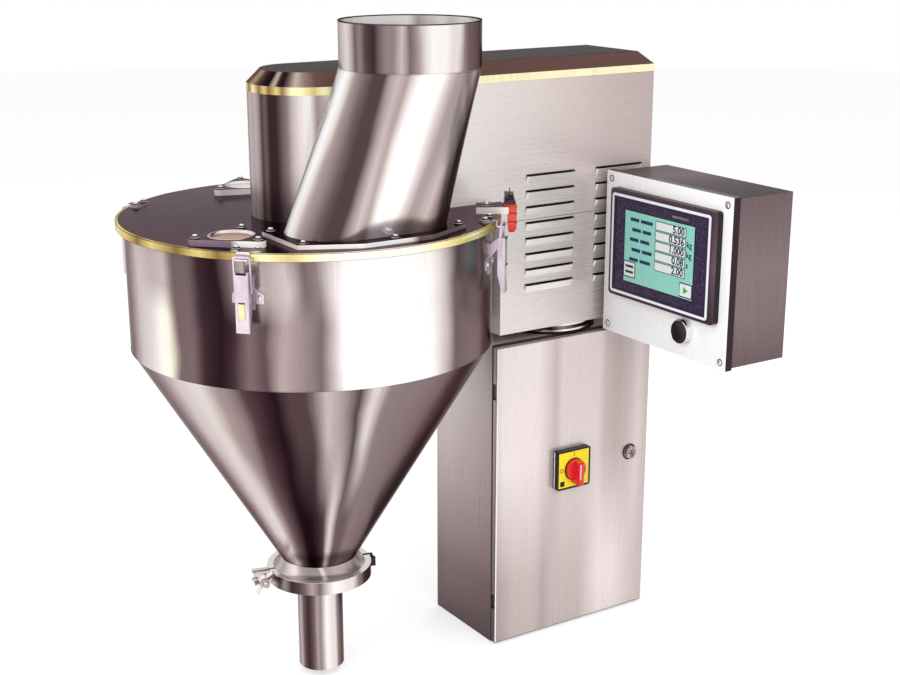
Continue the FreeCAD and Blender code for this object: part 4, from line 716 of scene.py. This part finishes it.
def dome_finish():
    """Bolt heads on the lid: painted highlights on their crowns, painted shade in their sockets, and dark
    sides painted as a reflection of the plate.
    """
    finish = Finish("domed bolt steel", Metallic=0.9, Specular_Tint=tone(150, 136, 140))
    grain = finish.grain(90.0, 2.0)
    colour = finish.ramp(finish.axes("Normal")[2], (0.0, DARK), (0.35, PLUM), (0.62, SILVER), (0.8, WHITE),
                         (0.93, WHITE), (0.97, PEWTER), (1.0, UMBER))
    return finish.finished(finish.shade(colour, grain, 0.94, 1.04), grain, 0.12, 0.22, 0.2)


chute_steel = chute_finish()
fitting_steel = small_metal("polished fitting steel", tone(246, 240, 240), tone(206, 194, 196))
bolt_steel = small_metal("bolt steel", tone(250, 244, 243), tone(214, 204, 205), 0.16)
dark_steel = small_metal("shaded steel", tone(120, 102, 104), tone(74, 56, 62), 0.3, 30.0,
                         tone(120, 100, 106))
inner_zinc = small_metal("zinc sheet", tone(176, 178, 180), tone(150, 152, 156), 0.42, 14.0)
bracket_steel = small_metal("panel bracket steel", tone(150, 134, 134), tone(112, 96, 98), 0.3, 20.0)
chrome = small_metal("bright chrome", tone(250, 248, 250), tone(224, 220, 224), 0.08)
lock_steel = small_metal("lock ring steel", SILVER, UMBER, 0.2, 160.0)
silver_insert = small_metal("silver lock insert", tone(214, 206, 204), tone(170, 160, 160), 0.24, 120.0)
nameplate_grey = small_metal("grey nameplate", SILVER, DOVE, 0.3)
black_plastic = moulded("black plastic", tone(20, 14, 18), 0.3, gloss=0.3)
# Dark joints, and dark strips that stand for painted shade.
dark_joint_and_shade = moulded("dark joint and painted shade", tone(28, 16, 22), 0.6, gloss=0.1)
knob_red = moulded("red knob plastic", tone(222, 30, 40), 0.28, coat=0.3)
signal_yellow = moulded("yellow switch plate", tone(252, 228, 24), shift=0.02)
catch_yellow = moulded("yellow catch plastic", tone(222, 214, 158), 0.36)
print_black = moulded("printed black", tone(24, 16, 20), gloss=0.2)
# White strips that are painted highlights.
white_highlight_paint = moulded("painted white highlight", tone(244, 244, 246), shift=0.02)
screen_aqua = moulded("aqua screen", tone(138, 204, 191), 0.3, 0.015)
screen_grey = moulded("pale screen box", tone(222, 226, 222), 0.3, 0.01)
screen_ink = moulded("dark screen ink", tone(18, 20, 72), 0.3, 0.02, gloss=0.2)
screen_teal = moulded("screen label ink", tone(30, 52, 88), 0.3, 0.02, gloss=0.2)
screen_green = moulded("green screen arrow", tone(64, 158, 60), 0.3, 0.02)
interlock_steel = edge_lit("interlock block steel", tone(96, 78, 84), bracket_top,
                           "-180 pale -60 silver 0 pale 60 bright 180 pale")
flange_steel = edge_lit("chute flange steel", tone(70, 52, 58), flange_top,
                        "-95 bright -72 white -50 white -46 silver -30 pale -26 bright -8 white 4 white "
                        "7 umber 26 umber 60 silver 180 bright")
sight_steel = edge_lit("sight flange steel", tone(72, 54, 60), sight_top,
                       "-180 bright -160 silver -120 pale -70 umber -61 mauve -52 mauve -49 bright 0 pale "
                       "90 silver 180 bright")
latch_steel = latch_finish()
switch_red = sensor_finish()

CAD_FINISHES = {
    "cabinet_shell": cabinet_finish(), "mounting_panel": inner_zinc, "door_hinges": hinge_finish(),
    "cabinet_door": door_finish(), "switch_plate": black_plastic, "switch_knob": knob_red,
    "lock_housing": lock_steel, "lock_insert": silver_insert, "pedestal": pedestal_steel,
    "hood_shell": hood_finish(), "louvres": louvre_finish(), "hood_band": trim_brass,
    "hood_roof": roof_finish(), "hopper_lid": lid_finish(), "hopper_drum": drum_steel,
    "hopper_cone": cone_steel, "outlet_ferrule": ferrule_finish(), "outlet_clamp": clamp_steel,
    "clamp_bolt": clamp_fitting_finish(), "nozzle": nozzle_steel, "auger": fitting_steel,
    "drive_shaft": fitting_steel, "auger_bearing": dark_steel, "infeed_chute": chute_steel,
    "chute_flange": flange_steel, "sight_flanges": sight_steel, "sight_panes": glass_finish(),
    "latch_keepers": keeper_finish(), "interlock_bracket": interlock_steel,
    "interlock_sensor": switch_red, "panel_cover": cover_finish(), "panel_box": panel_box_finish(),
    "panel_bracket": bracket_steel, "screen_housing": bezel_finish(), "screen_glass": border_finish(),
    "button_ring": chrome, "button_cap": black_plastic}
for node_name, node_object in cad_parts.items():
    for material_slot in node_object.material_slots:
        material_slot.material = CAD_FINISHES.get(node_name, latch_steel)


# Mesh building
def add_piece(name, body, finish, *shapes):
    """Joins placed shapes into one object, shades it smooth up to an angle and lets it ride on a body."""
    joined = bmesh.new()
    for shape in shapes:
        holder = bpy.data.meshes.new("holder")
        shape.to_mesh(holder)
        shape.free()
        joined.from_mesh(holder)
        bpy.data.meshes.remove(holder)
    data = bpy.data.meshes.new(name)
    joined.to_mesh(data)
    joined.free()
    data.materials.append(finish)
    data.shade_smooth()
    data.set_sharp_from_angle(angle=math.radians(40))
    made = bpy.data.objects.new(name, data)
    bpy.context.scene.collection.objects.link(made)
    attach(made, body)


def placed(shape, matrix):
    """Places a closed shape by a matrix, with its faces pointing outwards."""
    bmesh.ops.transform(shape, matrix=matrix, verts=shape.verts)
    bmesh.ops.recalc_face_normals(shape, faces=shape.faces)
    return shape


def seat(right, up, out, at):
    """A matrix that stands a shape drawn in XY, with +Z outwards, on a surface."""
    matrix = Matrix((right, up, out)).transposed().to_4x4()
    matrix.translation = Vector(at)
    return matrix


def on_door(y, z, x=door_high.x):
    return seat((0, 1, 0), (0, 0, 1), (1, 0, 0), (x, y, z))


def on_panel(x, z, y=cover_low.y):
    return seat((1, 0, 0), (0, 0, 1), (0, -1, 0), (x, y, z))


def on_hood(side, y, z):
    return seat((0, side, 0), (0, 0, 1), (side, 0, 0), (side * hood_side, y, z))


def round_hopper(degrees, radius, z, across=0.0):
    """A seat on the hopper's outside: X along the rim, Y up, +Z outwards."""
    angle = math.radians(degrees)
    out = Vector((math.cos(angle), math.sin(angle), 0))
    right = Vector((-math.sin(angle), math.cos(angle), 0))
    return seat(right, (0, 0, 1), out, HOPPER + out * radius + right * across + Vector((0, 0, z)))


def spun(profile, matrix, steps):
    """Turns (radius, height) points into a round shape."""
    turned = bmesh.new()
    ring = [turned.verts.new((radius, 0, height)) for radius, height in profile]
    edges = [turned.edges.new(pair) for pair in zip(ring, ring[1:])]
    bmesh.ops.spin(turned, geom=ring + edges, cent=(0, 0, 0), axis=(0, 0, 1), angle=2 * math.pi,
                   steps=steps, use_merge=True)
    bmesh.ops.remove_doubles(turned, verts=turned.verts, dist=1e-6)
    return placed(turned, matrix)


def hoop(section, matrix, steps):
    """Turns a closed section of (radius, height) points into a ring."""
    return spun(section + section[:1], matrix, steps)


def block(size, matrix, round_off, segments=2):
    """A box on its base with its edges rounded."""
    cube = bmesh.new()
    bmesh.ops.create_cube(cube, size=1.0)
    bmesh.ops.scale(cube, vec=size, verts=cube.verts)
    bmesh.ops.translate(cube, vec=(0, 0, size[2] / 2), verts=cube.verts)
    if round_off:
        bmesh.ops.bevel(cube, geom=cube.edges[:], offset=round_off, offset_type="OFFSET", segments=segments,
                        profile=0.5, affect="EDGES", material=-1)
    return placed(cube, matrix)


def slab(outline, depth, matrix, round_off=0.0):
    """A flat shape from its outline, given depth by extrusion, its upper edges rounded."""
    flat = bmesh.new()
    face = flat.faces.new([flat.verts.new((x, y, 0)) for x, y in outline])
    raised = bmesh.ops.extrude_face_region(flat, geom=[face])
    fresh = [part for part in raised["geom"] if isinstance(part, bmesh.types.BMVert)]
    bmesh.ops.translate(flat, vec=(0, 0, depth), verts=fresh)
    if round_off:
        top = [edge for edge in flat.edges if all(vert.co.z > depth / 2 for vert in edge.verts)]
        bmesh.ops.bevel(flat, geom=top, offset=round_off, offset_type="OFFSET", segments=2, profile=0.5,
                        affect="EDGES", material=-1)
    return placed(flat, matrix)


def flat_text(name, words, size, matrix, body, finish, thickness=0.0002, align="CENTER", weight=0.0):
    """Raised lettering on its place."""
    curve = bpy.data.curves.new(name, "FONT")
    curve.body = words
    curve.size = size
    curve.align_x = align
    curve.align_y = "CENTER"
    curve.extrude = thickness
    curve.offset = size * weight
    curve.resolution_u = 3
    letter = bpy.data.objects.new(name + "_curve", curve)
    bpy.context.scene.collection.objects.link(letter)
    bpy.context.view_layer.update()
    data = bpy.data.meshes.new_from_object(letter)
    bpy.data.objects.remove(letter)
    mesh = bmesh.new()
    mesh.from_mesh(data)
    bpy.data.meshes.remove(data)
    bmesh.ops.remove_doubles(mesh, verts=mesh.verts, dist=1e-7)
    add_piece(name, body, finish, placed(mesh, matrix))


# Bolts on the lid
CHUTE_BOLTS = ((0.208, -0.538), (0.114, -0.538), (0.240, -0.420), (0.208, -0.302), (0.114, -0.302))
SIGHT_GLASSES = ((0.2158, -55.6, -101.0), (0.2050, -179.2, -76.0))
SIGHT_BOLT_RADIUS = 0.0485
BOLT_RADIUS, BOLT_HEIGHT, WASHER = 0.0052, 0.0042, 0.0012


def dome_bolt(spot):
    """A washer and a dome head with a socket, standing on the lid."""
    dome = BOLT_RADIUS * 0.9
    profile = [(0, 0), (BOLT_RADIUS * 1.25, 0), (BOLT_RADIUS * 1.25, WASHER * 0.7),
               (BOLT_RADIUS * 1.14, WASHER), (dome, WASHER)]
    for step in range(1, 7):
        angle = math.radians(12.8 * step)
        profile.append((dome * math.cos(angle), WASHER + BOLT_HEIGHT * math.sin(angle)))
    top = profile[-1][1]
    socket = top - BOLT_HEIGHT * 0.4
    profile += [(BOLT_RADIUS * 0.2, top), (BOLT_RADIUS * 0.16, socket), (0, socket)]
    return spun(profile, Matrix.Translation(spot), 24)


bolt_spots = [Vector((bolt_x, bolt_y, flange_top)) for bolt_x, bolt_y in CHUTE_BOLTS]
sight_middles = []
for sight_radius, degrees, turn in SIGHT_GLASSES:
    middle = round_hopper(degrees, sight_radius, sight_top).to_translation()
    sight_middles.append(middle)
    for corner in range(3):
        angle = math.radians(turn + 120 * corner)
        bolt_spots.append(middle + Vector((math.cos(angle), math.sin(angle), 0)) * SIGHT_BOLT_RADIUS)
bolt_spots += [round_hopper(degrees, LID_RADIUS - 0.014, keeper_top, side * 0.0145).to_translation()
               for degrees in LATCH_DEGREES.values() for side in SIDES]
bolt_spots += [round_hopper(INTERLOCK_DEGREES, 0.253, bracket_top, side * 0.007).to_translation()
               for side in SIDES]
add_piece("lid_bolts", "machine", dome_finish(), *[dome_bolt(spot) for spot in bolt_spots])

# Sight glasses: a polished bevel ring round each pane
SIGHT_RING = [(0.0268, -0.0028), (0.0293, 0.0002), (0.0306, 0.0007), (0.0318, 0.0002), (0.0318, -0.0004)]
add_piece("sight_bevels", "machine", bolt_steel,
          *[hoop(SIGHT_RING, Matrix.Translation(middle), 64) for middle in sight_middles])

# Lid rim, which shows as a brass-coloured edge
rim, top, bottom = LID_RADIUS + 0.0004, lid_high.z, lid_low.z
add_piece("lid_edge_band", "machine", lid_brass, hoop(
    [(rim - 0.001, bottom - 0.0001), (rim, bottom + 0.0006), (rim, top - 0.0012),
     (rim - 0.0012, top + 0.0003), (rim - 0.0040, top + 0.0003), (rim - 0.0040, top - 0.0004)],
    Matrix.Translation(HOPPER), 180))

# Weld lines: drum to cone and chute to collar, and the collar's cut rim
proud = DRUM_RADIUS + 0.0004
add_piece("drum_weld", "machine", drum_steel, hoop(
    [(DRUM_RADIUS - 0.0006, weld_z + 0.0012), (proud, weld_z + 0.0004), (proud, weld_z - 0.0004),
     (DRUM_RADIUS - 0.0012, weld_z - 0.0012)], Matrix.Translation(HOPPER), 180))
inside, proud = CHUTE_RADIUS - 0.0004, CHUTE_RADIUS + 0.0006
add_piece("collar_weld", "machine", chute_steel, hoop(
    [(inside, 0.0012), (proud, 0.0005), (proud, -0.0005), (inside, -0.0014)],
    Matrix.Translation(CHUTE_JOINT), 96))
inside, outside = CHUTE_RADIUS - 0.0021, CHUTE_RADIUS + 0.0001
add_piece("collar_rim", "machine", dark_steel, hoop(
    [(outside, -0.0014), (outside, 0.0002), (inside, 0.0002), (inside, -0.0014)],
    Matrix.Translation((CHUTE_JOINT.x, CHUTE_JOINT.y, chute_top)), 96))

# Latches: yellow catch, painted highlight lines and painted shade strips on the lever, and rivets in the
# base's ears
LEVER_FACE = DRUM_RADIUS + 0.0245
LEVER_GLINT_LINES = ((0.6265, 0.0008), (0.6690, 0.0008), (0.6231, 0.0009))
SLOT_TOP = 0.663
RIVET = [(0, 0), (0.0036, 0), (0.0036, 0.0005), (0.0030, 0.0014), (0.0016, 0.0020), (0, 0.0022)]


def on_lever(degrees, lift, z, across=0.0):
    return round_hopper(degrees, LEVER_FACE + lift, z, across)


for place, degrees in LATCH_DEGREES.items():
    lever = "lever_" + place
    add_piece("catch_" + place, lever, catch_yellow,
              block((0.0076, 0.0206, 0.0006), on_lever(degrees, 0.0008, SLOT_TOP - 0.0126), 0.0003),
              block((0.0056, 0.0030, 0.0012), on_lever(degrees, 0.0012, SLOT_TOP - 0.0045), 0.0004))
    # Thin bright strips along the lever's edges and across it: painted highlights.
    glint_lines = [block((0.0148, width, 0.0005), on_lever(degrees, -0.0001, z), 0.0002) for z, width in LEVER_GLINT_LINES]
    glint_lines += [block((0.0008, 0.0640, 0.0005), on_lever(degrees, -0.0001, 0.6550, side * 0.0070), 0.0002)
             for side in SIDES]
    add_piece("lever_glint_lines_" + place, lever, bolt_steel, *glint_lines)
    # Dark strips at the lever's top edge and over the catch: painted shade.
    add_piece("lever_painted_shade_" + place, lever, dark_joint_and_shade,
              block((0.0140, 0.0026, 0.0014), on_lever(degrees, -0.0006, 0.6996), 0.0003),
              block((0.0084, 0.0014, 0.0010), on_lever(degrees, 0.0006, SLOT_TOP - 0.0012), 0.0002))
rivet_swing = math.degrees(0.0155 / DRUM_RADIUS)
add_piece("latch_rivets", "machine", bolt_steel, *[
    spun(RIVET, round_hopper(degrees + side * rivet_swing, DRUM_RADIUS + 0.002, 0.664), 20)
    for degrees in LATCH_DEGREES.values() for side in SIDES])

# Safety switch: dark seams, side bumps, black head, sloping arm and upright rod
SWITCH_OUT = LID_RADIUS + 0.011
SWITCH_BUMP = [(0, 0), (0.0026, 0), (0.0026, 0.0008), (0.0016, 0.0018), (0, 0.0020)]
HEAD_OUTLINE = ((-0.0115, 0), (0.0115, 0), (0.0115, 0.0052), (0.004, 0.0088), (-0.0115, 0.0066))


def on_switch(out, z, across=0.0):
    return round_hopper(INTERLOCK_DEGREES, SWITCH_OUT + out, z, across)


add_piece("safety_switch_seams", "machine", dark_joint_and_shade,
          *[block((0.0284, 0.0016, 0.0010), on_switch(0.0108, z), 0.0002) for z in (0.7117, 0.7243)])
add_piece("safety_switch_bumps", "machine", switch_red,
          *[spun(SWITCH_BUMP, on_switch(0.0118, z, 0.0085), 18) for z in (0.7060, 0.7180, 0.7300)],
          block((0.010, 0.007, 0.009), on_switch(0.001, 0.6975, 0.004), 0.0012))
arm_seat = on_switch(-0.0060, 0.7500, -0.012) @ Matrix.Rotation(math.radians(9), 4, "Z")
add_piece("safety_switch_head", "machine", black_plastic,
          slab(HEAD_OUTLINE, 0.011, on_switch(-0.0035, 0.7438), 0.0006),
          block((0.030, 0.0024, 0.0050), arm_seat, 0.0006))
rod_foot = on_switch(0.002, 0.7500, 0.004).to_translation()
add_piece("safety_switch_rod", "machine", dark_steel,
          spun([(0, 0), (0.0007, 0), (0.0007, 0.0080), (0, 0.0084)], Matrix.Translation(rod_foot), 12))

# Hood: dark lines of painted shade over the louvres, turned down at their ends, and a sheet seam along each
# side
LOUVRE_COLUMNS = (-0.054, 0.077)
LOUVRE_ROWS = 8
LOUVRE_PITCH = 0.024
LOUVRE_SHADE_TOP = 0.7583
LOUVRE_SHADE_LINES = ((0, 0, (0.090, 0.0026, 0.0004)), (-0.0448, 0.0034, (0.0014, 0.0068, 0.0004)),
             (0.0448, 0.0034, (0.0014, 0.0068, 0.0004)))
add_piece("louvre_shade_lines", "machine", dark_joint_and_shade, *[
    block(size, on_hood(side, column + offset, LOUVRE_SHADE_TOP - row * LOUVRE_PITCH - drop), 0.0001, 1)
    for side in SIDES for column in LOUVRE_COLUMNS for row in range(LOUVRE_ROWS)
    for offset, drop, size in LOUVRE_SHADE_LINES])
add_piece("hood_seam", "machine", dark_steel,
          *[block((0.280, 0.0006, 0.0001), on_hood(side, -0.001, 0.691), 0) for side in SIDES])

# Black ring round the pedestal's foot, painted shade in the recess under the hood
add_piece("pedestal_shade_ring", "machine", dark_joint_and_shade, hoop(
    [(0.0600, 0.0), (0.0800, 0.0), (0.0800, 0.0022), (0.0784, 0.0030), (0.0600, 0.0030)],
    Matrix.Translation((0, 0, shell_top)), 72))

# Main switch: yellow plate, its marks, painted highlights on the plate's edge and the knob's grip, and the
# knob's seat ring
switch_y, switch_z = (plate_low.y + plate_high.y) / 2, (plate_low.z + plate_high.z) / 2
plate_face = plate_high.x
add_piece("switch_yellow_plate", "door", signal_yellow,
          block((0.0594, 0.0594, 0.0008), on_door(switch_y, switch_z, plate_face - 0.0008), 0.0003))
# Thin white strip on the plate's side: a painted highlight.
add_piece("switch_plate_edge_highlight", "door", white_highlight_paint, block(
    (0.0006, 0.0630, 0.0018), on_door(plate_low.y - 0.0001, switch_z, door_high.x + 0.0024), 0.0002))
add_piece("switch_corner_square", "door", print_black, block(
    (0.0085, 0.0085, 0.0002), on_door(switch_y - 0.0225, switch_z - 0.0225, plate_face), 0.0001))
for name, mark, size, y, z in (("switch_mark_on", "I", 0.011, switch_y, switch_z + 0.0245),
                               ("switch_mark_off", "O", 0.010, switch_y - 0.0245, switch_z)):
    flat_text(name, mark, size, on_door(y, z, plate_face), "door", print_black)
# White strip on the knob's grip: a painted highlight.
add_piece("knob_grip_highlight", "main_switch", white_highlight_paint, block(
    (0.0016, 0.0250, 0.0004), on_door(switch_y - 0.0030, switch_z + 0.001, knob_front - 0.0001), 0.0002))
add_piece("knob_seat_ring", "door", print_black, hoop(
    [(0.0168, 0.0), (0.0186, 0.0), (0.0186, 0.0008), (0.0172, 0.0014)],
    on_door(switch_y, switch_z, plate_face), 48))

# Door lock: dark outline ring
lock_y, lock_z = (lock_low.y + lock_high.y) / 2, (lock_low.z + lock_high.z) / 2
add_piece("lock_outline", "door", dark_joint_and_shade, hoop(
    [(0.0122, 0.0), (0.0136, 0.0), (0.0136, 0.0005), (0.0122, 0.0005)], on_door(lock_y, lock_z), 48))

# Control panel: screws, and dark rings round them as painted shade
SCREW = [(0, 0), (0.0042, 0), (0.0042, 0.0007), (0.0036, 0.0016), (0.0022, 0.0022), (0.0015, 0.0022),
         (0.0012, 0.0010), (0, 0.0010)]
SCREW_SHADE_RING = [(0, 0), (0.0054, 0), (0.0054, 0.0003), (0, 0.0003)]
SCREW_INSET = 0.0115
screw_spots = [on_panel(x, z) for x in (cover_low.x + SCREW_INSET, cover_high.x - SCREW_INSET)
               for z in (cover_low.z + SCREW_INSET, cover_high.z - SCREW_INSET)]
add_piece("panel_screws", "machine", bolt_steel, *[spun(SCREW, spot, 24) for spot in screw_spots])
add_piece("panel_screw_shade_rings", "machine", dark_steel, *[spun(SCREW_SHADE_RING, spot, 24) for spot in screw_spots])

# Screen picture
PICTURE = (0.155, 0.1085)
READINGS = (("5.00", 0.05, ""), ("0.536", 0.19, "kg"), ("1.000", 0.33, "kg"), ("0.08", 0.47, "s"),
            ("2.00", 0.61, ""))
picture_x, picture_z = 0.2385, (glass_low.z + glass_high.z) / 2
picture_left, picture_top = picture_x - PICTURE[0] / 2, picture_z + PICTURE[1] / 2


def on_screen(share_x, share_y, lift=0.0):
    """A seat on the screen picture, from shares of its width and of its height, down from the top left."""
    return on_panel(picture_left + PICTURE[0] * share_x, picture_top - PICTURE[1] * share_y,
                    glass_low.y - lift)


def patch(left, top, right, bottom, lift):
    """A thin flat patch between shares of the screen picture."""
    size = ((right - left) * PICTURE[0], (bottom - top) * PICTURE[1], 0.0002)
    return block(size, on_screen((left + right) / 2, (top + bottom) / 2, lift), 0)


add_piece("picture_outline", "machine", print_black,
          block((PICTURE[0] + 0.003, PICTURE[1] + 0.003, 0.0003), on_screen(0.5, 0.5), 0.0001, 1))
add_piece("screen_picture", "machine", screen_aqua,
          block((PICTURE[0], PICTURE[1], 0.0004), on_screen(0.5, 0.5, 0.0001), 0.0001, 1))
outlines, boxes, labels = [], [], []
for number, (words, box_top, unit) in enumerate(READINGS):
    outlines.append(patch(0.452, box_top - 0.006, 0.888, box_top + 0.122, 0.0005))
    boxes.append(patch(0.46, box_top + 0.004, 0.88, box_top + 0.112, 0.0006))
    flat_text("reading_%d" % number, words, 0.0150, on_screen(0.865, box_top + 0.058, 0.0009), "machine",
              screen_ink, 0.0001, "RIGHT", 0.022)
    if unit:
        flat_text("unit_%d" % number, unit, 0.0125, on_screen(0.898, box_top + 0.070, 0.0006), "machine",
                  screen_ink, 0.0001, "LEFT", 0.015)
    start = 0.08 + 0.03 * (number % 2)
    for word_left, word_right in ((start, start + 0.13), (start + 0.155, 0.41 - 0.02 * (number % 3))):
        labels.append(patch(word_left, box_top + 0.035, word_right, box_top + 0.082, 0.0005))
outlines += [patch(0.0, 0.705, 0.175, 0.935, 0.0005), patch(0.822, 0.785, 1.0, 0.985, 0.0005)]
boxes += [patch(0.008, 0.72, 0.165, 0.92, 0.0006), patch(0.83, 0.80, 0.99, 0.97, 0.0006)]
labels += [patch(0.03, line_top, 0.145, line_top + 0.035, 0.0008) for line_top in (0.76, 0.84)]
add_piece("screen_box_outlines", "machine", screen_ink, *outlines)
add_piece("screen_boxes", "machine", screen_grey, *boxes)
add_piece("screen_label_bars", "machine", screen_teal, *labels)
add_piece("screen_start_arrow", "machine", screen_green, slab(
    ((-0.0042, -0.0050), (0.0056, 0.0), (-0.0042, 0.0050)), 0.0003, on_screen(0.908, 0.885, 0.0008)))
add_piece("screen_blank_nameplate", "machine", nameplate_grey, block(
    (0.036, 0.0030, 0.0002), on_panel(picture_x + 0.045, (picture_top + glass_high.z) / 2, glass_low.y), 0))

# Push button: bright inner bevel and a dished black cap
button_x, button_z = (ring_low.x + ring_high.x) / 2, (ring_low.z + ring_high.z) / 2
add_piece("button_bevel", "machine", chrome, hoop(
    [(0.0170, 0.0), (0.0184, 0.0), (0.0178, 0.0010), (0.0171, 0.0006)],
    on_panel(button_x, button_z, ring_low.y), 64))
add_piece("button_dish", "push_button", black_plastic, spun(
    [(0.0, 0.0002), (0.0128, 0.0002), (0.0142, 0.0010), (0.0152, 0.0011), (0.0160, 0.0), (0.0, -0.0006)],
    on_panel(button_x, button_z, cap_front), 64))


# Studio: pale floor, white surroundings and three soft lamps
LAMP_TARGET = Vector((0, -0.2, 0.5))
FLOOR_RADIUS = 9.0
scene = bpy.context.scene
scene.view_settings.view_transform = "Standard"


def strength(tree, plain, seen):
    """One strength for light on surfaces, another for rays from the camera, off metal or through glass."""
    path = tree.nodes.new("ShaderNodeLightPath")
    total = path.outputs["Is Camera Ray"]
    for kind in ("Is Glossy Ray", "Is Transmission Ray"):
        either = tree.nodes.new("ShaderNodeMath")
        either.operation = "MAXIMUM"
        tree.links.new(total, either.inputs[0])
        tree.links.new(path.outputs[kind], either.inputs[1])
        total = either.outputs[0]
    reach = tree.nodes.new("ShaderNodeMapRange")
    reach.inputs["To Min"].default_value = plain
    reach.inputs["To Max"].default_value = seen
    tree.links.new(total, reach.inputs["Value"])
    return reach.outputs["Result"]


world = bpy.data.worlds.new("white studio")
scene.world = world
world.use_nodes = True
background = world.node_tree.nodes["Background"]
background.inputs["Color"].default_value = WHITE
world.node_tree.links.new(strength(world.node_tree, 0.85, 1.0), background.inputs["Strength"])


def soft_lamp(name, place, size, power):
    lamp_data = bpy.data.lights.new(name, "AREA")
    lamp_data.shape = "SQUARE"
    lamp_data.size = size
    lamp_data.energy = power
    lamp = bpy.data.objects.new(name, lamp_data)
    lamp.location = place
    lamp.rotation_euler = (LAMP_TARGET - Vector(place)).to_track_quat("-Z", "Y").to_euler()
    lamp.visible_glossy = False
    scene.collection.objects.link(lamp)


soft_lamp("key_lamp", (2.2, -0.2, 2.6), 2.4, 40)
soft_lamp("fill_lamp", (1.0, -3.0, 1.8), 2.4, 60)
soft_lamp("back_lamp", (-2.2, 1.8, 2.2), 2.0, 24)

floor_finish = Finish("pale studio floor", Roughness=0.9, Specular_IOR_Level=0.0)
floor_finish.set("Base Color", (0.5, 0.5, 0.5, 1))
floor_finish.set("Emission Color", WHITE)
floor_finish.set("Emission Strength", strength(floor_finish.tree, 0.0, 0.54))
floor = bmesh.new()
bmesh.ops.create_circle(floor, cap_ends=True, radius=FLOOR_RADIUS, segments=64)
floor_data = bpy.data.meshes.new("studio_floor")
floor.to_mesh(floor_data)
floor.free()
floor_data.materials.append(floor_finish.material)
studio_floor = bpy.data.objects.new("studio_floor", floor_data)
scene.collection.objects.link(studio_floor)
studio_floor.location = (0, 0, cad_low.z - 0.0005)
